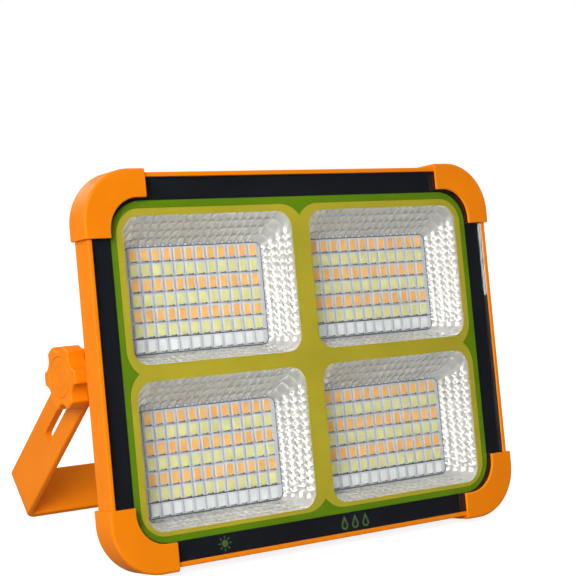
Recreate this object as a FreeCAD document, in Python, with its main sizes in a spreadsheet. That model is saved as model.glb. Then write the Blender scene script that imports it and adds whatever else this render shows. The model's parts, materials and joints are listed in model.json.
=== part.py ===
"""Portable solar flood light on a swinging U stand, one solid per physical piece.

Plate frame: x to the right, y up, z towards the viewer, with z = 0 on the face of the clear panel.
Everything in the lamp head is drawn in it, and leans back with it.  The stand is drawn hanging
straight down in a frame of its own, centred on the pivot axis, and swings back from there.
Finished parts stand on the floor: +Z up, light thrown towards -Y, origin under the middle.
"""
import FreeCAD, Part
import Sketcher
import math
import os

SIZES = [
    # clear panel, mask and frame
    ("glass_width", 198.0), ("glass_height", 151.0), ("glass_thick", 2.0), ("glass_corner", 18.0),
    ("glass_gap", 0.2), ("rim_wall", 1.8), ("rim_proud", 0.4), ("mask_thick", 0.25),
    ("gasket_thick", 1.0), ("gasket_width", 5.0), ("ledge_width", 9.0), ("opening_corner", 11.0),
    ("frame_corner", 20.0), ("frame_split", 8.0), ("seal_inset", 5.6), ("seal_width", 2.0),
    ("seal_thick", 1.2), ("small_round", 0.6), ("cut_over", 1.0),
    # four windows and what is behind each
    ("window_width", 80.0), ("window_height", 58.6), ("window_corner", 7.0), ("window_gap_x", 9.0),
    ("window_gap_y", 6.5), ("window_drop", 1.3), ("reflector_wall", 0.8), ("led_margin_x", 2.45),
    ("led_margin_y", 1.07), ("throat_corner", 3.0), ("throat_drop", 3.7), ("throat_shift", 1.0),
    ("reflector_depth", 12.4),
    ("led_pitch_x", 5.2), ("led_pitch_y", 6.06), ("led_wide", 3.9), ("led_tall", 4.9),
    ("led_thick", 0.8), ("board_margin", 1.2), ("board_thick", 1.6), ("plate_thick", 1.0),
    ("plate_gap", 0.5), ("plate_screw_inset", 3.0),
    ("plate_screw_reach", 2.6), ("plate_screw_head", 2.2), ("control_screw_reach", 8.0),
    # rear housing
    ("flange_thick", 2.5), ("step_inset_x", 10.0), ("step_inset_y", 8.0), ("step_corner", 14.0),
    ("step_wall", 2.6), ("shelf_wall", 2.0), ("box_width", 153.0), ("box_height", 118.0),
    ("box_corner", 8.0), ("box_wall", 2.4), ("rear_wall", 1.8),
    ("box_round", 2.5), ("step_round", 2.0), ("cove_round", 4.0),
    # solar panel
    ("solar_rim_x", 4.0), ("solar_rim_y", 5.0), ("solar_corner", 3.0), ("solar_gap", 0.2),
    ("solar_recess", 2.0), ("sheet_thick", 1.2), ("cell_thick", 0.2), ("cover_thick", 0.5),
    ("wafer_margin_x", 10.1), ("wafer_margin_y", 8.6), ("wafer_gap_x", 1.2), ("wafer_gap_y", 2.0),
    # corner guards
    ("guard_wall", 1.5), ("guard_flap", 1.3), ("guard_cover", 8.0), ("guard_leg_x", 25.0),
    ("guard_leg_y", 23.5), ("guard_throat", 13.0), ("guard_round", 1.2), ("guard_hole_inset", 3.4),
    ("guard_step_gap", 0.3),
    ("guard_screw_x", 19.0), ("guard_screw_y", 17.0), ("screw_shank", 1.3), ("screw_reach", 6.6),
    ("screw_head", 2.6), ("screw_head_thick", 1.3),
    # batteries and electronics
    ("battery_radius", 9.2), ("battery_long", 65.0), ("battery_gap", 1.0), ("battery_low", 15.0),
    ("battery_rear_gap", 0.15),
    ("holder_floor", 1.2), ("holder_gap", 0.1), ("holder_deep", 12.0), ("holder_wall", 2.0),
    ("strip_thick", 0.3), ("strip_wide", 7.0),
    ("control_width", 96.0), ("control_height", 26.0), ("control_depth", 24.0),
    ("control_top_gap", 2.6), ("post_radius", 2.6), ("post_inset", 4.0), ("post_bore", 1.0),
    ("usb_a_width", 13.1), ("usb_a_thick", 5.7), ("usb_a_long", 14.0), ("usb_a_x", 8.0),
    ("usb_c_width", 9.0), ("usb_c_thick", 3.3), ("usb_c_long", 8.0), ("usb_c_x", 9.0),
    ("usb_wall", 0.35), ("usb_gap", 0.3), ("usb_a_tongue", 1.8), ("usb_c_tongue", 0.7),
    ("tongue_inset", 1.2), ("tongue_short", 2.0),
    ("cover_width", 42.0), ("cover_deep", 12.0), ("cover_recess", 1.2), ("cover_proud", 0.6),
    ("cover_gap", 0.3), ("cover_lift", 0.2), ("cover_middle", 29.0),
    ("button_x", 36.0), ("button_radius", 4.0), ("button_proud", 1.4), ("button_travel", 0.8),
    ("button_flange", 5.2), ("button_flange_thick", 0.8), ("button_gap", 0.3),
    ("switch_side", 6.0), ("switch_tall", 3.4), ("plunger_radius", 1.7), ("plunger_deep", 1.6),
    ("light_x", -36.0), ("light_width", 18.0), ("light_deep", 3.4),
    ("light_pitch", 4.0), ("light_side", 1.6),
    # pivots, stand and knobs
    ("boss_inset", 0.3), ("boss_wall", 4.3), ("boss_side", 3.5), ("boss_end", 1.0),
    ("boss_round", 2.0), ("nut_side", 15.0), ("nut_thick", 7.0), ("nut_shelf_gap", 2.25), ("nut_gap", 0.2),
    ("stud_radius", 2.0), ("stud_gap", 0.06), ("stud_reach", 15.2), ("stud_clear", 0.4),
    ("arm_gap", 0.1), ("bush_flange", 1.1), ("bush_radius", 9.0), ("key_long", 8.0),
    ("key_gap", 0.15), ("arm_thick", 3.0), ("arm_width", 22.0),
    ("bar_gap", 2.5), ("bend_radius", 5.0), ("slot_wide", 4.9), ("slot_end", 42.0),
    ("stand_round", 0.8), ("groove_radius", 16.0), ("groove_deep", 2.5), ("groove_pitch", 24.0),
    ("bulge_radius", 11.0), ("bulge_out", 5.0), ("bulge_pitch", 20.0), ("stand_angle", 53.7),
    ("washer_thick", 0.8), ("washer_radius", 6.0), ("knob_radius", 13.2), ("knob_thick", 7.6),
    ("flute_radius", 5.0), ("flute_deep", 2.6), ("knob_round", 0.8), ("ring_radius", 8.6),
    ("ring_wide", 0.8), ("ring_deep", 0.4), ("cap_radius", 4.6), ("cap_thick", 1.2),
    ("insert_radius", 3.8), ("insert_thick", 3.0), ("insert_cover", 1.0),
]

COLUMNS, ROWS = 12, 7
WAFER_COLUMNS, WAFER_ROWS = 5, 2
GROOVES, BULGES, FLUTES = 5, 3, 6
CHARGE_LIGHTS = 4

doc = FreeCAD.newDocument("solar_flood_light")
sheet = doc.addObject("Spreadsheet::Sheet", "dim")
for row, (alias, number) in enumerate(SIZES, start=1):
    sheet.set(f"A{row}", alias)
    sheet.set(f"B{row}", str(number))
    sheet.setAlias(f"B{row}", alias)
doc.recompute()

# Depths are measured back from the face of the clear panel; all are expressions on the sheet.
FRAME_WIDE = "(dim.glass_width + 2 * (dim.glass_gap + dim.rim_wall))"
FRAME_TALL = "(dim.glass_height + 2 * (dim.glass_gap + dim.rim_wall))"
LEDGE = "(dim.glass_thick + dim.mask_thick + dim.gasket_thick)"
FLANGE_REAR = "(dim.frame_split + dim.flange_thick)"
GUARD_FRONT = "(dim.rim_proud + dim.guard_flap)"
GUARD_REAR = f"({FLANGE_REAR} + dim.guard_flap)"
MASK_REAR = "(dim.glass_thick + dim.mask_thick)"
BOARD_FRONT = f"({MASK_REAR} + dim.reflector_depth)"
BOARD_REAR = f"({BOARD_FRONT} + dim.board_thick)"
PLATE_REAR = f"({BOARD_REAR} + dim.plate_thick)"
STEP_REAR = f"({PLATE_REAR} + dim.shelf_wall)"
STEP_WIDE = f"({FRAME_WIDE} - 2 * dim.step_inset_x)"
STEP_TALL = f"({FRAME_TALL} - 2 * dim.step_inset_y)"
HOLDER_FRONT = f"({PLATE_REAR} + dim.holder_gap)"
CELL_FRONT = f"({HOLDER_FRONT} + dim.holder_floor + dim.holder_gap)"
INNER_REAR = f"({CELL_FRONT} + 2 * dim.battery_radius + dim.battery_rear_gap)"
SOLAR_FLOOR = f"({INNER_REAR} + dim.rear_wall)"
BOX_REAR = f"({SOLAR_FLOOR} + dim.solar_recess)"
BATTERY_PITCH = "(2 * dim.battery_radius + dim.battery_gap)"
BOX_TOP = "(dim.box_height / 2)"
INNER_TOP = "(dim.box_height / 2 - dim.box_wall)"
CONTROL_REAR = "(dim.control_depth + dim.board_thick)"
CONTROL_TOP = f"({INNER_TOP} - dim.control_top_gap)"
COVER_FLOOR = "(dim.box_height / 2 - dim.cover_recess)"
THROAT_WIDE = f"({COLUMNS - 1} * dim.led_pitch_x + dim.led_wide + 2 * dim.led_margin_x)"
THROAT_TALL = f"({ROWS - 1} * dim.led_pitch_y + dim.led_tall + 2 * dim.led_margin_y)"
SOLAR_WIDE = "(dim.box_width - 2 * dim.solar_rim_x)"
SOLAR_TALL = "(dim.box_height - 2 * dim.solar_rim_y)"
WAFER_WIDE = (f"(({SOLAR_WIDE} - 2 * dim.wafer_margin_x - {WAFER_COLUMNS - 1} * dim.wafer_gap_x)"
              f" / {WAFER_COLUMNS})")
WAFER_TALL = (f"(({SOLAR_TALL} - 2 * dim.wafer_margin_y - {WAFER_ROWS - 1} * dim.wafer_gap_y)"
              f" / {WAFER_ROWS})")
# Across the lamp, outwards from the box: captive nut, boss, bush, arm of the stand, washer, knob.
PIVOT_DEPTH = f"({STEP_REAR} + dim.nut_shelf_gap + dim.nut_side / 2)"
BOSS_FACE = f"({STEP_WIDE} / 2 - dim.boss_inset)"
BOSS_TALL = "(dim.nut_side + 2 * dim.boss_side)"
NUT_START = f"({BOSS_FACE} - dim.boss_wall - dim.nut_thick)"
ARM_INNER = f"({BOSS_FACE} + 2 * dim.arm_gap + dim.bush_flange)"
ARM_OUTER = f"({ARM_INNER} + dim.arm_thick)"
ARM_LONG = f"({FRAME_TALL} / 2 + dim.guard_wall + dim.bar_gap + dim.arm_thick)"
KNOB_FACE = f"({ARM_OUTER} + dim.arm_gap + dim.washer_thick)"

HEAD, STAND, KNOB_LEFT, KNOB_RIGHT = "head", "stand", "knob_left", "knob_right"
nodes = {}      # label -> (document object, frame it is drawn in)


def value(expression):
    """Number that an expression on the sheet stands for."""
    return float(sheet.evalExpression(str(expression)))


def keep(obj, label, frame=HEAD):
    """Register one physical piece of the lamp under its label."""
    if obj.TypeId in ("Part::Box", "Part::Cylinder"):
        obj = group(f"{label}_piece", [obj])
    obj.Label = label
    nodes[label] = (obj, frame)
    return obj


# ---------------------------------------------------------------- primitives bound to the sheet

def bind(obj, sizes, place):
    """Tie an object's sizes and place to expressions on the sheet."""
    for name, expression in sizes.items():
        obj.setExpression(name, expression)
    for axis, expression in zip("xyz", place):
        obj.setExpression(f"Placement.Base.{axis}", expression)
    return obj


def box(name, middle_x, middle_y, front, wide, tall, deep):
    """Block given by its middle in x and y, its front depth and its three sizes."""
    obj = doc.addObject("Part::Box", name)
    place = (f"{middle_x} - ({wide}) / 2", f"{middle_y} - ({tall}) / 2", f"-({front}) - ({deep})")
    return bind(obj, {"Length": wide, "Width": tall, "Height": deep}, place)


def rod(name, radius, long, place, axis="z"):
    """Cylinder that starts at a place and runs along +x, +y or +z."""
    turns = {
        "x": FreeCAD.Rotation(FreeCAD.Vector(0, 1, 0), 90),
        "y": FreeCAD.Rotation(FreeCAD.Vector(1, 0, 0), -90),
        "z": FreeCAD.Rotation(),
    }
    obj = doc.addObject("Part::Cylinder", name)
    obj.Placement = FreeCAD.Placement(FreeCAD.Vector(), turns[axis])
    return bind(obj, {"Radius": radius, "Height": long}, place)


def fuse(name, pieces):
    obj = doc.addObject("Part::MultiFuse", name)
    obj.Shapes = pieces
    return obj


def cut(name, base, tool):
    obj = doc.addObject("Part::Cut", name)
    obj.Base = base
    obj.Tool = tool
    return obj


def group(name, pieces):
    """Separate solids that share one node."""
    obj = doc.addObject("Part::Compound", name)
    obj.Links = pieces
    return obj


# ---------------------------------------------------------------- plates drawn as bodies

def new_sketch(body, name, front):
    """Sketch on a plane parallel to the clear panel's face, at a depth behind it."""
    sketch = body.newObject("Sketcher::SketchObject", name)
    plane = [item for item in body.Origin.OriginFeatures if item.Role == "XY_Plane"][0]
    sketch.AttachmentSupport = [(plane, "")]
    sketch.MapMode = "FlatFace"
    sketch.setExpression("AttachmentOffset.Base.z", f"-({front})")
    return sketch


def rounded_outline(sketch, wide, tall, corner, middle):
    """Rounded rectangle about a middle point, with width, height and corner bound to the sheet."""
    half_x, half_y, radius = value(wide) / 2, value(tall) / 2, value(corner)
    mid_x, mid_y = value(middle[0]), value(middle[1])
    signs = [(1, 1), (-1, 1), (-1, -1), (1, -1)]
    for index, (sign_x, sign_y) in enumerate(signs):
        centre = FreeCAD.Vector(mid_x + sign_x * (half_x - radius), mid_y + sign_y * (half_y - radius), 0)
        circle = Part.Circle(centre, FreeCAD.Vector(0, 0, 1), radius)
        start = index * math.pi / 2
        sketch.addGeometry(Part.ArcOfCircle(circle, start, start + math.pi / 2), False)
    for index in range(4):
        begin = sketch.getPoint(index, 2)
        end = sketch.getPoint((index + 1) % 4, 1)
        sketch.addGeometry(Part.LineSegment(begin, end), False)
    for index in range(4):
        line = 4 + index
        sketch.addConstraint(Sketcher.Constraint("Tangent", index, 2, line, 1))
        sketch.addConstraint(Sketcher.Constraint("Tangent", line, 2, (index + 1) % 4, 1))
        if index:
            sketch.addConstraint(Sketcher.Constraint("Equal", 0, index))
    sketch.addConstraint(Sketcher.Constraint("Horizontal", 4))
    sketch.addConstraint(Sketcher.Constraint("Vertical", 5))
    named = [
        ("radius", Sketcher.Constraint("Radius", 0, radius), corner),
        ("right", Sketcher.Constraint("DistanceX", -1, 1, 7, 1, mid_x + half_x),
         f"{middle[0]} + ({wide}) / 2"),
        ("top", Sketcher.Constraint("DistanceY", -1, 1, 4, 1, mid_y + half_y),
         f"{middle[1]} + ({tall}) / 2"),
        ("wide", Sketcher.Constraint("DistanceX", 5, 1, 7, 1, 2 * half_x), wide),
        ("tall", Sketcher.Constraint("DistanceY", 6, 1, 4, 1, 2 * half_y), tall),
    ]
    for name, constraint, expression in named:
        index = sketch.addConstraint(constraint)
        sketch.renameConstraint(index, name)
        sketch.setExpression(f"Constraints.{name}", expression)


def pad(body, name, wide, tall, corner, front, deep, middle=("0", "0")):
    """Rounded plate that runs back from a front depth."""
    sketch = new_sketch(body, f"{name}_outline", front)
    rounded_outline(sketch, wide, tall, corner, middle)
    feature = body.newObject("PartDesign::Pad", name)
    feature.Profile = sketch
    feature.Reversed = True
    feature.setExpression("Length", deep)
    return feature


def pocket(body, name, wide, tall, corner, front, deep, middle=("0", "0")):
    """Rounded recess cut back from a front depth; it has to take material away."""
    doc.recompute()
    before = body.Shape.Volume
    sketch = new_sketch(body, f"{name}_outline", front)
    rounded_outline(sketch, wide, tall, corner, middle)
    feature = body.newObject("PartDesign::Pocket", name)
    feature.Profile = sketch
    feature.setExpression("Length", deep)
    doc.recompute()
    if body.Shape.Volume > before - 1e-6:
        raise ValueError(f"{name} cuts nothing")
    return feature


def round_edges(body, name, radius, chosen):
    """Fillet the edges of a body that a test picks out."""
    doc.recompute()
    base = body.Tip
    edges = [f"Edge{i}" for i, edge in enumerate(base.Shape.Edges, start=1) if chosen(edge)]
    if not edges:
        raise ValueError(f"{name} found no edge")
    feature = body.newObject("PartDesign::Fillet", name)
    feature.Base = (base, edges)
    feature.setExpression("Radius", radius)
    return feature


def outermost(edge, half_wide, half_tall):
    """True for an edge of the rounded outline with these half sizes."""
    reach = edge.BoundBox
    across = max(abs(reach.XMin), abs(reach.XMax))
    up = max(abs(reach.YMin), abs(reach.YMax))
    return abs(across - half_wide) < 1e-3 or abs(up - half_tall) < 1e-3


def at_depth(edge, depth):
    """True for an edge that lies flat at a depth behind the clear panel's face."""
    return abs(edge.BoundBox.ZMin + depth) < 1e-3 and abs(edge.BoundBox.ZMax + depth) < 1e-3


def plate(label, wide, tall, corner, front, deep, middle=("0", "0")):
    """Body that is one rounded plate."""
    body = doc.addObject("PartDesign::Body", label)
    pad(body, f"{label}_plate", wide, tall, corner, front, deep, middle)
    return body


# ---------------------------------------------------------------- shapes set by Part's functions

def outline_wire(wide, tall, corner, middle, depth):
    """Rounded rectangle as a wire at a depth behind the clear panel."""
    half_x, half_y = wide / 2, tall / 2
    mid_x, mid_y = value(middle[0]), value(middle[1])
    pieces = []
    diagonal = corner * (1 - math.sqrt(0.5))
    for sign_x, sign_y in [(1, 1), (-1, 1), (-1, -1), (1, -1)]:
        side = FreeCAD.Vector(mid_x + sign_x * half_x, mid_y + sign_y * (half_y - corner), -depth)
        end = FreeCAD.Vector(mid_x + sign_x * (half_x - corner), mid_y + sign_y * half_y, -depth)
        between = FreeCAD.Vector(mid_x + sign_x * (half_x - diagonal),
                                 mid_y + sign_y * (half_y - diagonal), -depth)
        points = (side, between, end) if sign_x * sign_y > 0 else (end, between, side)
        pieces.append(points)
    edges = []
    for index, (start, between, end) in enumerate(pieces):
        edges.append(Part.Arc(start, between, end).toShape())
        edges.append(Part.LineSegment(end, pieces[(index + 1) % 4][0]).toShape())
    return Part.Wire(edges)


def shaped(label, shape, frame=HEAD):
    """Piece whose shape comes straight from Part's functions."""
    obj = doc.addObject("Part::Feature", label)
    obj.Shape = shape
    return keep(obj, label, frame)


# ---------------------------------------------------------------- windows

def window_middle(side, level):
    """Middle of one window, as expressions: side is -1 or 1, level is -1 or 1."""
    return (f"({side} * (dim.window_gap_x + dim.window_width) / 2)",
            f"({level} * (dim.window_gap_y + dim.window_height) / 2 - dim.window_drop)")


def throat_middle(middle):
    """Middle of the reflector's small end, which sits a little left of and below its window."""
    return (f"({middle[0]} - dim.throat_shift)", f"({middle[1]} - dim.throat_drop)")


WINDOWS = {
    "upper_left": window_middle(-1, 1),
    "upper_right": window_middle(1, 1),
    "lower_left": window_middle(-1, -1),
    "lower_right": window_middle(1, -1),
}


CORNERS = {
    "upper_left": (-1, 1),
    "upper_right": (1, 1),
    "lower_left": (-1, -1),
    "lower_right": (1, -1),
}


def guard_screw_places():
    """Middles of the screws that hold each corner guard, two to a corner."""
    places = []
    for side, level in CORNERS.values():
        places.append((f"{side} * (dim.glass_width / 2 - dim.guard_screw_x)",
                       f"{level} * ({FRAME_TALL} / 2 - dim.guard_hole_inset)"))
        places.append((f"{side} * ({FRAME_WIDE} / 2 - dim.guard_hole_inset)",
                       f"{level} * (dim.glass_height / 2 - dim.guard_screw_y)"))
    return places


def make_guard_screws():
    """Screws of the corner guards; returns the shanks, which also cut the holes."""
    screws = []
    shanks = []
    for index, (x, y) in enumerate(guard_screw_places(), start=1):
        shank = rod(f"guard_shank_{index}", "dim.screw_shank", "dim.screw_reach",
                    (x, y, f"-{GUARD_REAR}"))
        top = rod(f"guard_head_{index}", "dim.screw_head", "dim.screw_head_thick",
                  (x, y, f"-{GUARD_REAR} - dim.screw_head_thick"))
        screws.append(fuse(f"guard_screw_{index}", [shank, top]))
        shanks.append(shank)
    keep(group("guard_screw_set", screws), "guard_screws")
    return fuse("guard_shanks", shanks)


def ring(label, wide, tall, corner, front, deep, width):
    """Flat rounded ring, with its width measured inwards."""
    body = plate(label, wide, tall, corner, front, deep)
    pocket(body, f"{label}_inside", f"{wide} - 2 * {width}", f"{tall} - 2 * {width}",
           f"{corner} - {width}", front, deep)
    return body


def make_seal():
    """Rubber seal between frame and housing; the frame's groove is cut with it."""
    seal = ring("seal", f"({FRAME_WIDE} - 2 * dim.seal_inset)", f"({FRAME_TALL} - 2 * dim.seal_inset)",
                "(dim.frame_corner - dim.seal_inset)", "dim.frame_split - dim.seal_thick",
                "dim.seal_thick", "dim.seal_width")
    keep(group("seal_piece", [seal]), "housing_seal")
    return seal


def make_frame(shanks, seal):
    """Orange front frame with the seat and ledge that hold the clear panel."""
    body = doc.addObject("PartDesign::Body", "frame_body")
    pad(body, "frame_block", FRAME_WIDE, FRAME_TALL, "dim.frame_corner",
        "-dim.rim_proud", "dim.frame_split + dim.rim_proud")
    pocket(body, "glass_seat", "(dim.glass_width + 2 * dim.glass_gap)",
           "(dim.glass_height + 2 * dim.glass_gap)", "dim.glass_corner + dim.glass_gap",
           "-dim.rim_proud", f"{LEDGE} + dim.rim_proud")
    pocket(body, "frame_opening", f"({FRAME_WIDE} - 2 * dim.ledge_width)",
           f"({FRAME_TALL} - 2 * dim.ledge_width)", "dim.opening_corner",
           LEDGE, f"dim.frame_split - {LEDGE}")
    half_wide, half_tall, proud = value(FRAME_WIDE) / 2, value(FRAME_TALL) / 2, value("dim.rim_proud")
    round_edges(body, "rim_round", "dim.small_round",
                lambda edge: at_depth(edge, -proud) and outermost(edge, half_wide, half_tall))
    keep(cut("frame_with_holes", body, fuse("frame_cuts", [shanks, seal])), "front_frame")


def make_front():
    """Clear panel, printed mask with four windows, and the foam ring behind them."""
    outline = ("dim.glass_width", "dim.glass_height", "dim.glass_corner")
    keep(plate("lens", *outline, "0", "dim.glass_thick"), "front_lens")
    mask = plate("mask", *outline, "dim.glass_thick", "dim.mask_thick")
    for name, middle in WINDOWS.items():
        pocket(mask, f"window_{name}", "dim.window_width", "dim.window_height", "dim.window_corner",
               "dim.glass_thick", "dim.mask_thick", middle)
    keep(mask, "printed_mask")
    keep(ring("gasket", *outline, MASK_REAR, "dim.gasket_thick", "dim.gasket_width"), "lens_gasket")


def make_guards(shanks):
    """Corner guards: one hooked rim around the frame, kept only at its four corners."""
    wide = f"({FRAME_WIDE} + 2 * dim.guard_wall)"
    tall = f"({FRAME_TALL} + 2 * dim.guard_wall)"
    rim = plate("guard_rim", wide, tall, "dim.frame_corner + dim.guard_wall",
                f"-{GUARD_FRONT}", f"{GUARD_FRONT} + {GUARD_REAR}")
    half_wide, half_tall = value(wide) / 2, value(tall) / 2
    pocket(rim, "guard_window", "(dim.glass_width - 2 * dim.guard_cover)",
           "(dim.glass_height - 2 * dim.guard_cover)", "dim.guard_throat",
           f"-{GUARD_FRONT}", f"{GUARD_FRONT} + {GUARD_REAR}")
    front, rear = value(GUARD_FRONT), value(GUARD_REAR)
    round_edges(rim, "guard_round_edges", "dim.guard_round",
                lambda edge: (at_depth(edge, -front) or at_depth(edge, rear))
                and outermost(edge, half_wide, half_tall))
    inner_wide = value("dim.glass_width - 2 * dim.guard_cover") / 2
    inner_tall = value("dim.glass_height - 2 * dim.guard_cover") / 2
    round_edges(rim, "guard_lip_round", "dim.small_round",
                lambda edge: at_depth(edge, -front) and outermost(edge, inner_wide, inner_tall))
    inside = plate("guard_inside", FRAME_WIDE, FRAME_TALL, "dim.frame_corner",
                   "-dim.rim_proud", f"dim.rim_proud + {FLANGE_REAR}")
    clear = plate("guard_step_clear", f"({STEP_WIDE} + 2 * dim.guard_step_gap)",
                  f"({STEP_TALL} + 2 * dim.guard_step_gap)", "dim.step_corner + dim.guard_step_gap",
                  FLANGE_REAR, "dim.guard_flap")
    hollow = cut("guard_hollow_rim", rim, fuse("guard_cuts", [inside, clear, shanks]))
    leg_x = f"({wide} / 2 - dim.glass_width / 2 + dim.guard_leg_x)"
    leg_y = f"({tall} / 2 - dim.glass_height / 2 + dim.guard_leg_y)"
    for name, (side, level) in CORNERS.items():
        corner = box(f"corner_{name}", f"{side} * ({wide} / 2 - {leg_x} / 2)",
                     f"{level} * ({tall} / 2 - {leg_y} / 2)", f"-{GUARD_FRONT}",
                     leg_x, leg_y, f"({GUARD_FRONT} + {GUARD_REAR})")
        guard = doc.addObject("Part::Common", f"guard_{name}")
        guard.Base = hollow
        guard.Tool = corner
        keep(guard, f"corner_guard_{name}")


def reflector_shape(middle, extra):
    """Tapered hollow of one window, or its outside when given the wall as extra."""
    mouth = outline_wire(value("dim.window_width") + 2 * extra, value("dim.window_height") + 2 * extra,
                         value("dim.window_corner") + extra, middle, value(MASK_REAR))
    throat = outline_wire(value(THROAT_WIDE) + 2 * extra, value(THROAT_TALL) + 2 * extra,
                          value("dim.throat_corner") + extra, throat_middle(middle), value(BOARD_FRONT))
    return Part.makeLoft([mouth, throat], True, True)


def make_light_units():
    """Reflector cup and circuit board behind every window."""
    for name, middle in WINDOWS.items():
        wall = value("dim.reflector_wall")
        shaped(f"reflector_{name}", reflector_shape(middle, wall).cut(reflector_shape(middle, 0)))
        keep(plate(f"board_{name}", f"({THROAT_WIDE} + 2 * dim.board_margin)",
                   f"({THROAT_TALL} + 2 * dim.board_margin)", "dim.board_margin",
                   BOARD_FRONT, "dim.board_thick", throat_middle(middle)), f"led_board_{name}")


def make_leds():
    """Rows of chips: warm and daylight rows take turns, and the lowest row is for signals."""
    rows = {"warm_leds": (0, 2, 4), "daylight_leds": (1, 3, 5), "signal_leds": (6,)}
    wide, tall, thick = value("dim.led_wide"), value("dim.led_tall"), value("dim.led_thick")
    pitch_x, pitch_y, front = value("dim.led_pitch_x"), value("dim.led_pitch_y"), value(BOARD_FRONT)
    for label, chosen in rows.items():
        chips = []
        for middle in WINDOWS.values():
            mid_x, mid_y = [value(expression) for expression in throat_middle(middle)]
            for line in chosen:
                for column in range(COLUMNS):
                    x = mid_x + (column - (COLUMNS - 1) / 2) * pitch_x
                    y = mid_y + ((ROWS - 1) / 2 - line) * pitch_y
                    corner = FreeCAD.Vector(x - wide / 2, y - tall / 2, -front)
                    chips.append(Part.makeBox(wide, tall, thick, corner))
        shaped(label, Part.makeCompound(chips))


def plate_screw_places():
    """Two screws down each side of the heat plate and one above and below."""
    inset = "(dim.step_wall + dim.plate_gap + dim.plate_screw_inset)"
    across = f"({STEP_WIDE} / 2 - {inset})"
    up = f"({STEP_TALL} / 2 - {inset})"
    places = [("0", up), ("0", f"-{up}")]
    for side in (-1, 1):
        for level in (-1, 1):
            places.append((f"{side} * {across}", f"{level} * {up} / 2"))
    return places


def make_plate_screws():
    """Screws of the heat plate; returns the shanks, which also cut the holes."""
    screws = []
    shanks = []
    for index, (x, y) in enumerate(plate_screw_places(), start=1):
        shank = rod(f"plate_shank_{index}", "dim.post_bore", "dim.plate_screw_reach",
                    (x, y, f"-{BOARD_REAR} - dim.plate_screw_reach"))
        top = rod(f"plate_head_{index}", "dim.plate_screw_head", "dim.screw_head_thick",
                  (x, y, f"-{BOARD_REAR}"))
        screws.append(fuse(f"plate_screw_{index}", [shank, top]))
        shanks.append(shank)
    keep(group("plate_screw_set", screws), "plate_screws")
    return fuse("plate_shanks", shanks)


def make_heat_plate(shanks):
    """Aluminium sheet that carries the four LED boards and spreads their heat."""
    body = plate("heat_body",
                 f"({FRAME_WIDE} - 2 * (dim.step_inset_x + dim.step_wall + dim.plate_gap))",
                 f"({FRAME_TALL} - 2 * (dim.step_inset_y + dim.step_wall + dim.plate_gap))",
                 "dim.step_corner - dim.step_wall - dim.plate_gap", BOARD_REAR, "dim.plate_thick")
    keep(cut("heat_plate_holes", body, shanks), "heat_plate")


def side_rod(name, side, radius, start, end, y="0", z="0"):
    """Cylinder across the lamp on one side, from one distance off the middle to another."""
    low = start if side > 0 else f"-({end})"
    return rod(name, radius, f"({end}) - ({start})", (low, y, z), "x")


def side_box(name, side, start, end, middle_y, front, tall, deep):
    """Block on one side of the lamp, from one distance off the middle to another."""
    return box(name, f"{side} * (({start}) + ({end})) / 2", middle_y, front,
               f"(({end}) - ({start}))", tall, deep)


SIDES = {"left": -1, "right": 1}


def control_holes():
    """Middles of the four screws that hold the control board."""
    places = []
    for side in (-1, 1):
        for level in (0, 1):
            places.append((f"{side} * (dim.control_width / 2 - dim.post_inset)",
                           f"{CONTROL_TOP} - dim.post_inset"
                           f" - {level} * (dim.control_height - 2 * dim.post_inset)"))
    return places


def make_control_screws():
    """Screws of the control board; returns the shanks, which also cut the holes."""
    screws = []
    shanks = []
    for index, (x, y) in enumerate(control_holes(), start=1):
        shank = rod(f"control_shank_{index}", "dim.post_bore", "dim.control_screw_reach",
                    (x, y, "-dim.control_depth - dim.control_screw_reach"))
        top = rod(f"control_head_{index}", "dim.plate_screw_head", "dim.screw_head_thick",
                  (x, y, "-dim.control_depth"))
        screws.append(fuse(f"control_screw_{index}", [shank, top]))
        shanks.append(shank)
    keep(group("control_screw_set", screws), "control_screws")
    return fuse("control_shanks", shanks)


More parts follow.
